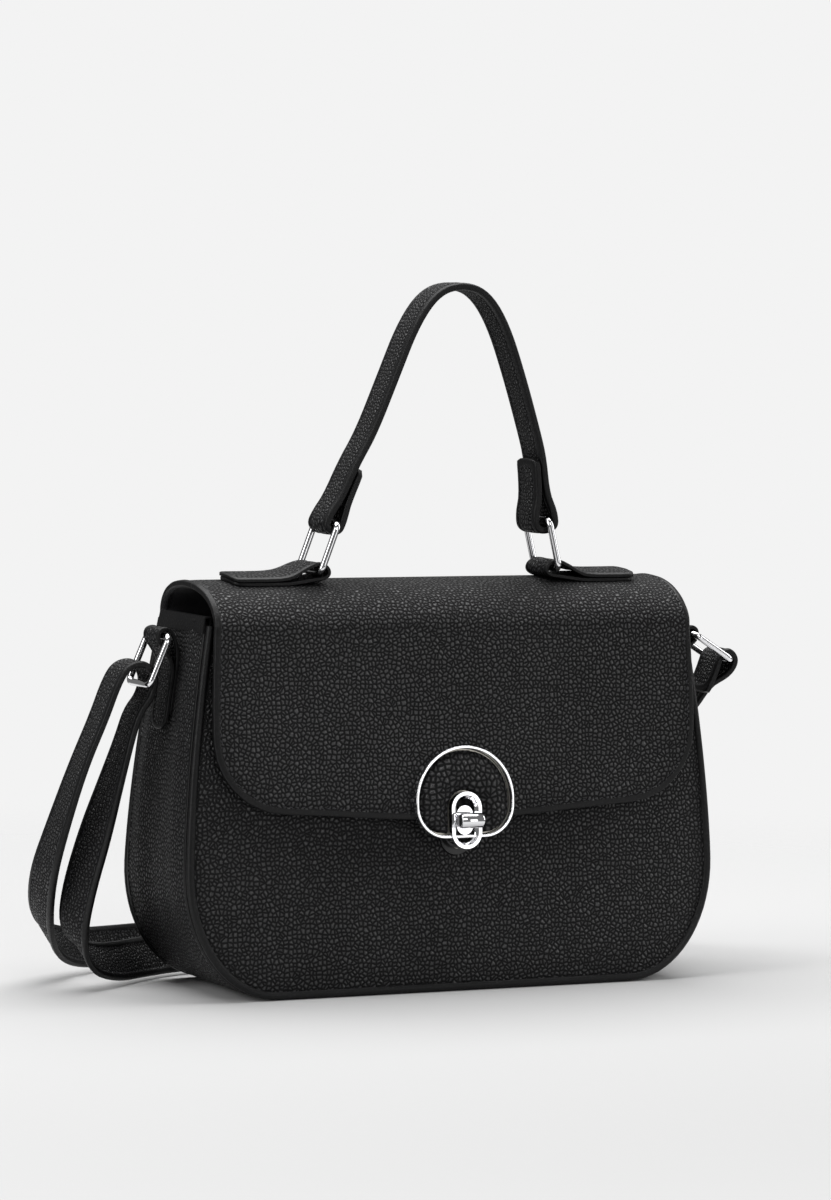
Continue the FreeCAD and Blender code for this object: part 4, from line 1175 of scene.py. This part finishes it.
# %% [markdown]
# ## Lock
# The frame of the lock is a thin cast ring round a puffed leather pad, with an oblong collar through its
# lower part.  The ring and the collar start as outline faces, become rings, and get rounded edges, because
# a polished edge only shines if it is round.

# %% Lock frame and collar
PLATE_IN = FLAP_PROUD + 0.1 * MM
frame_ring = rounded_d("lock_frame_ring", 0, PLATE_IN)
ring_of(1.25 * MM, 4.4 * MM)
done(frame_ring, ("BEVEL", {"width": 0.35 * MM, "segments": 4, "limit_method": "ANGLE"}))
bpy.ops.object.shade_smooth_by_angle(angle=SMOOTH_BELOW)
done(frame_ring, ("WEIGHTED_NORMAL", {"keep_sharp": True}))
on_front(frame_ring)

LIP = 1.5 * MM                      # from the collar's outside to the top of its funnel
SLOT_HALF = 4.3 * MM
FUNNEL_DEPTH = 1.3 * MM
COLLAR_FOOT = 2.4 * MM
COLLAR_FACE = 10.5 * MM
collar = oblong("lock_collar_casting", *COLLAR, COLLAR_FOOT)
ring_of(LIP, COLLAR_FACE - COLLAR_FOOT)
cut_at([(0, -COLLAR_FACE + depth * MM, 0) for depth in (0.45, 0.9, 1.35, 1.9)], (0, 1, 0))
done(collar)


def funnel(places, normals):
    """Narrows the inside of the collar from its lip down to the slot."""
    x, y, z = places.T
    axis_z = np.clip(z, -(COLLAR[1] - COLLAR[0]) / 2, (COLLAR[1] - COLLAR[0]) / 2)
    out = np.hypot(x, z - axis_z)
    inside = out < COLLAR[0] / 2 - 0.5 * LIP
    share = np.clip((y + COLLAR_FACE) / FUNNEL_DEPTH, 0, 1)
    wanted = (COLLAR[0] / 2 - LIP) * (1 - share) + SLOT_HALF * share
    scale = np.where(inside, wanted / np.maximum(out, 1e-6), 1.0)
    return np.stack([x * scale, y, axis_z + (z - axis_z) * scale], axis=1)


move_points(collar, funnel)
done(collar, ("BEVEL", {"width": 0.6 * MM, "segments": 4, "limit_method": "ANGLE",
                        "angle_limit": math.radians(40)}))
bpy.ops.object.shade_smooth_by_angle(angle=SMOOTH_BELOW)
done(collar, ("WEIGHTED_NORMAL", {"keep_sharp": True}))
on_front(collar)
for piece, node in ((frame_ring, "lock_frame"), (collar, "lock_collar")):
    dressed(piece, chrome)
    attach(piece, "flap_front")
    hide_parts(node)
    print(piece.name, "faces", len(piece.data.polygons))

# %% [markdown]
# ## The puffed pad
# The pad is leather stretched over foam.  A fine remesh gives it an even skin, and a short cloth simulation
# with its back held still lets that skin settle.  The skin is small and stiff, so it settles by only a few
# hundredths of a millimetre, and a quarter of one at most.  The puff that is seen comes from the step after
# it, which lifts the face between the frame and the collar.  How far a point may settle is capped as a guard.

# %% Pad
PAD_BACK = 6.3 * MM
PAD_DEPTH = 1.5 * MM
PAD_VOXEL = 0.8 * MM
PAD_CAP = 1.5 * MM
PAD_INSET = 1.9 * MM                # from the frame's outside to the pad
PAD_LIFT = 2.3 * MM
PAD_SLOPE = 6.5 * MM                # from the pad's edge to its full lift
PAD_PRESSURE, PAD_STIFFNESS, PAD_FRAMES = 4, 15, 20
pad = rounded_d("lock_pad_leather", PAD_INSET, PAD_BACK)
push_out(PAD_DEPTH)
done(pad)
hole = oblong("pad_punch", COLLAR[0] + 0.5 * MM, COLLAR[1] + 0.5 * MM, 0)
push_out(PUNCH_LENGTH)
done(hole)
done(pad, ("BOOLEAN", {"object": hole, "operation": "DIFFERENCE", "solver": "EXACT"}),
     ("REMESH", {"mode": "VOXEL", "voxel_size": PAD_VOXEL}),
     ("SMOOTH", {"factor": 0.5, "iterations": 3}))
bpy.data.objects.remove(hole)
pad_start = np.array([vertex.co for vertex in pad.data.vertices])

held = pad.vertex_groups.new(name="held")
for vertex in pad.data.vertices:
    if vertex.co.y > -PAD_BACK - 0.35 * PAD_DEPTH:
        held.add([vertex.index], 1.0, "REPLACE")
cloth = pad.modifiers.new("cloth", "CLOTH")
cloth.settings.vertex_group_mass = "held"
cloth.settings.use_pressure = True
cloth.settings.uniform_pressure_force = PAD_PRESSURE
cloth.settings.tension_stiffness = cloth.settings.compression_stiffness = PAD_STIFFNESS
cloth.settings.bending_stiffness = 0.5
cloth.settings.effector_weights.gravity = 0
cloth.collision_settings.use_collision = False
for number in range(1, PAD_FRAMES + 1):
    bpy.context.scene.frame_set(number)
take(pad)
bpy.ops.object.modifier_apply(modifier="cloth")
bpy.context.scene.frame_set(1)


def capped(places, normals):
    moved = places - pad_start
    far = np.linalg.norm(moved, axis=1, keepdims=True)
    return pad_start + moved * np.minimum(1, PAD_CAP / np.maximum(far, 1e-9))


move_points(pad, capped)


def crowned_pad(places, normals):
    """Lifts the face of the pad between the frame and the collar, most of all in the middle of the way."""
    x, y, z = places.T
    axis_z = np.clip(z, -(COLLAR[1] - COLLAR[0]) / 2, (COLLAR[1] - COLLAR[0]) / 2)
    from_collar = np.hypot(x, z - axis_z) - COLLAR[0] / 2
    shoulder = D_TOP - D_HALF_WIDTH
    from_frame = D_HALF_WIDTH - PAD_INSET - np.hypot(x, np.where(z > shoulder, z - shoulder, 0))
    from_frame = np.minimum(from_frame, z - D_BOTTOM - PAD_INSET + 3 * MM * (np.abs(x) < D_CORNER))
    room = np.clip(np.minimum(from_collar, from_frame) / PAD_SLOPE, 0, 1)
    face = np.clip((-y - PAD_BACK) / PAD_DEPTH, 0, 1)
    return np.stack([x, y - PAD_LIFT * np.sin(room * np.pi / 2) * face, z], axis=1)


move_points(pad, crowned_pad)
done(pad, ("SUBSURF", ONE_LEVEL))
bpy.ops.object.shade_smooth()
keep_flat_places(pad, 0, 2)
on_front(pad)
dressed(pad, pad_leather)
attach(pad, "flap_front")
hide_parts("lock_pad")
print("pad faces", len(pad.data.polygons))

# %% [markdown]
# ## Turn knob
# A short barrel across a round neck.  Two cylinders are the natural start: the barrel's ends are chamfered
# with a bevel, the foot of the neck gets a small one, and the two are joined.

# %% Knob
KNOB_PROUD = 14.2 * MM
KNOB_LENGTH = 11.0 * MM
KNOB_RADIUS = 3.3 * MM
NECK_FOOT = 8.6 * MM
NECK_RADIUS = 2.6 * MM
knob = start("lock_knob_barrel", bpy.ops.mesh.primitive_cylinder_add, vertices=40, radius=KNOB_RADIUS,
             depth=KNOB_LENGTH, rotation=(0, math.pi / 2, 0))
bpy.ops.transform.translate(value=(0, -KNOB_PROUD, 0))
pick(knob, "faces", lambda place, normal: abs(normal.x) > 0.9)
bpy.ops.mesh.bevel(offset=1.0 * MM, segments=2, profile=0.5, affect="EDGES")
done(knob, ("BEVEL", {"width": 0.16 * MM, "segments": 2, "limit_method": "ANGLE",
                      "angle_limit": math.radians(25)}))
neck = start("neck", bpy.ops.mesh.primitive_cylinder_add, vertices=32, radius=NECK_RADIUS,
             depth=KNOB_PROUD - NECK_FOOT, rotation=(math.pi / 2, 0, 0))
bpy.ops.transform.translate(value=(0, -(KNOB_PROUD + NECK_FOOT) / 2, 0))
pick(neck, "edges", lambda place, normal: place.y > -NECK_FOOT - 1e-5)
bpy.ops.mesh.bevel(offset=0.4 * MM, segments=2, affect="EDGES")
done(neck)
knob = joined("lock_knob_barrel", [knob, neck])
bpy.ops.object.shade_smooth_by_angle(angle=math.radians(30))
on_front(knob)
dressed(knob, chrome)
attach(knob, "lock_knob")
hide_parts("lock_knob")
print("knob faces", len(knob.data.polygons))

# %% [markdown]
# ## Pieces that stay as designed
# The rings, plates, rivets, bindings and the lining already have their real shape in the design, so they
# keep it, and only their finish changes.

# %% Finishes of the design's own pieces
KEPT = {chrome: ("handle_ring_left", "handle_ring_right", "side_ring_left", "side_ring_right", "strap_slider",
                 "lock_post"),
        # The base plate is black as painted shade, where the collar leaves only shadow.
        shade_black_steel: ("lock_base_plate",),
        nickel: ("lock_face_plate", "lock_back_plate", "lock_washer", "lock_rivets", "lock_screws"),
        turned_leather: ("mouth_binding", "gusset_binding_left", "gusset_binding_right"),
        lining_cloth: ("lining", "slip_pocket"),
        board: ("base_board",)}
for material, nodes in KEPT.items():
    for node in nodes:
        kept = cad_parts[node]
        kept.data.materials.clear()
        kept.data.materials.append(material)
print("kept pieces", sum(len(nodes) for nodes in KEPT.values()))

# %% [markdown]
# ## Floor
# The bag stands on a pale seamless sweep.  A disc that fades out into the background at its edge does the
# same without a bend, so that no horizon shows.

# %% Floor
BACKDROP = "#f3f3f3"
FLOOR_RADIUS = 0.75
FLOOR_DROP = 0.0003                 # the gusset's underside dips this far below the design's
floor = start("floor", bpy.ops.mesh.primitive_circle_add, vertices=96, radius=FLOOR_RADIUS,
              fill_type="NGON", location=(0, 0, -FLOOR_DROP))
done(floor)
floor_paper, floor_shader = finish_named("pale_paper", Roughness=0.9, Base_Color=colour("#cdcdcd"),
                                         Specular_IOR_Level=0.0)
place = add_node(floor_paper, "TexCoord")
reach = add_node(floor_paper, "VectorMath", {"operation": "LENGTH"}, {0: (place, "Object")})
fade = add_node(floor_paper, "MapRange", {"interpolation_type": "SMOOTHSTEP", "From Min": 0.28,
                                          "From Max": FLOOR_RADIUS * 0.98, "To Min": 1.0, "To Max": 0.0},
                {"Value": (reach, "Value")})
link(floor_paper, fade, "Result", floor_shader, "Alpha")
dressed(floor, floor_paper)
print("floor radius, m", FLOOR_RADIUS)

# %% [markdown]
# ## Lights
# One large soft light stands above and behind, with a tall one on the left for the gusset and the rings, a
# weaker one on the right, a broad dim fill in front, and a small card that the lock mirrors.  Black leather
# shows only what it mirrors, so its shape comes from how large and how near the lights are.  The background
# is as pale as the camera should see it, but lights the bag far less.

# %% Lights
def soft_light(name, place, aim, size, power):
    """A rectangular softbox that faces a point."""
    clear_selection()
    bpy.ops.object.light_add(type="AREA", location=place)
    light = bpy.context.object
    light.name = name
    light.data.shape = "RECTANGLE"
    light.data.size, light.data.size_y = size
    light.data.energy = power
    light.rotation_euler = (Vector(aim) - Vector(place)).to_track_quat("-Z", "Y").to_euler()
    return light


soft_light("overhead_softbox", (0.0, 0.3, 1.3), (0, 0.02, 0.1), (1.8, 1.3), 27)
soft_light("left_softbox", (-1.3, -0.25, 0.55), (0, 0, 0.12), (0.5, 1.1), 7)
soft_light("right_softbox", (1.3, -0.2, 0.6), (0, 0, 0.12), (0.5, 1.0), 5)
soft_light("front_fill", (-0.2, -1.9, 1.2), (0, 0, 0.12), (1.2, 0.8), 9)
soft_light("lock_card", (0.72, -1.5, 0.25), (0, 0, 0.08), (0.5, 0.8), 1.9)

world = bpy.data.worlds.new("studio")
bpy.context.scene.world = world
world.use_nodes = True
studio = world.node_tree
studio.nodes.clear()
sight = studio.nodes.new("ShaderNodeLightPath")
seen = studio.nodes.new("ShaderNodeBackground")
seen.inputs["Color"].default_value = colour(BACKDROP)
room = studio.nodes.new("ShaderNodeBackground")
room.inputs["Color"].default_value = colour(BACKDROP)
room.inputs["Strength"].default_value = 0.17
either = studio.nodes.new("ShaderNodeMixShader")
out = studio.nodes.new("ShaderNodeOutputWorld")
studio.links.new(sight.outputs["Is Camera Ray"], either.inputs[0])
studio.links.new(room.outputs[0], either.inputs[1])
studio.links.new(seen.outputs[0], either.inputs[2])
studio.links.new(either.outputs[0], out.inputs["Surface"])
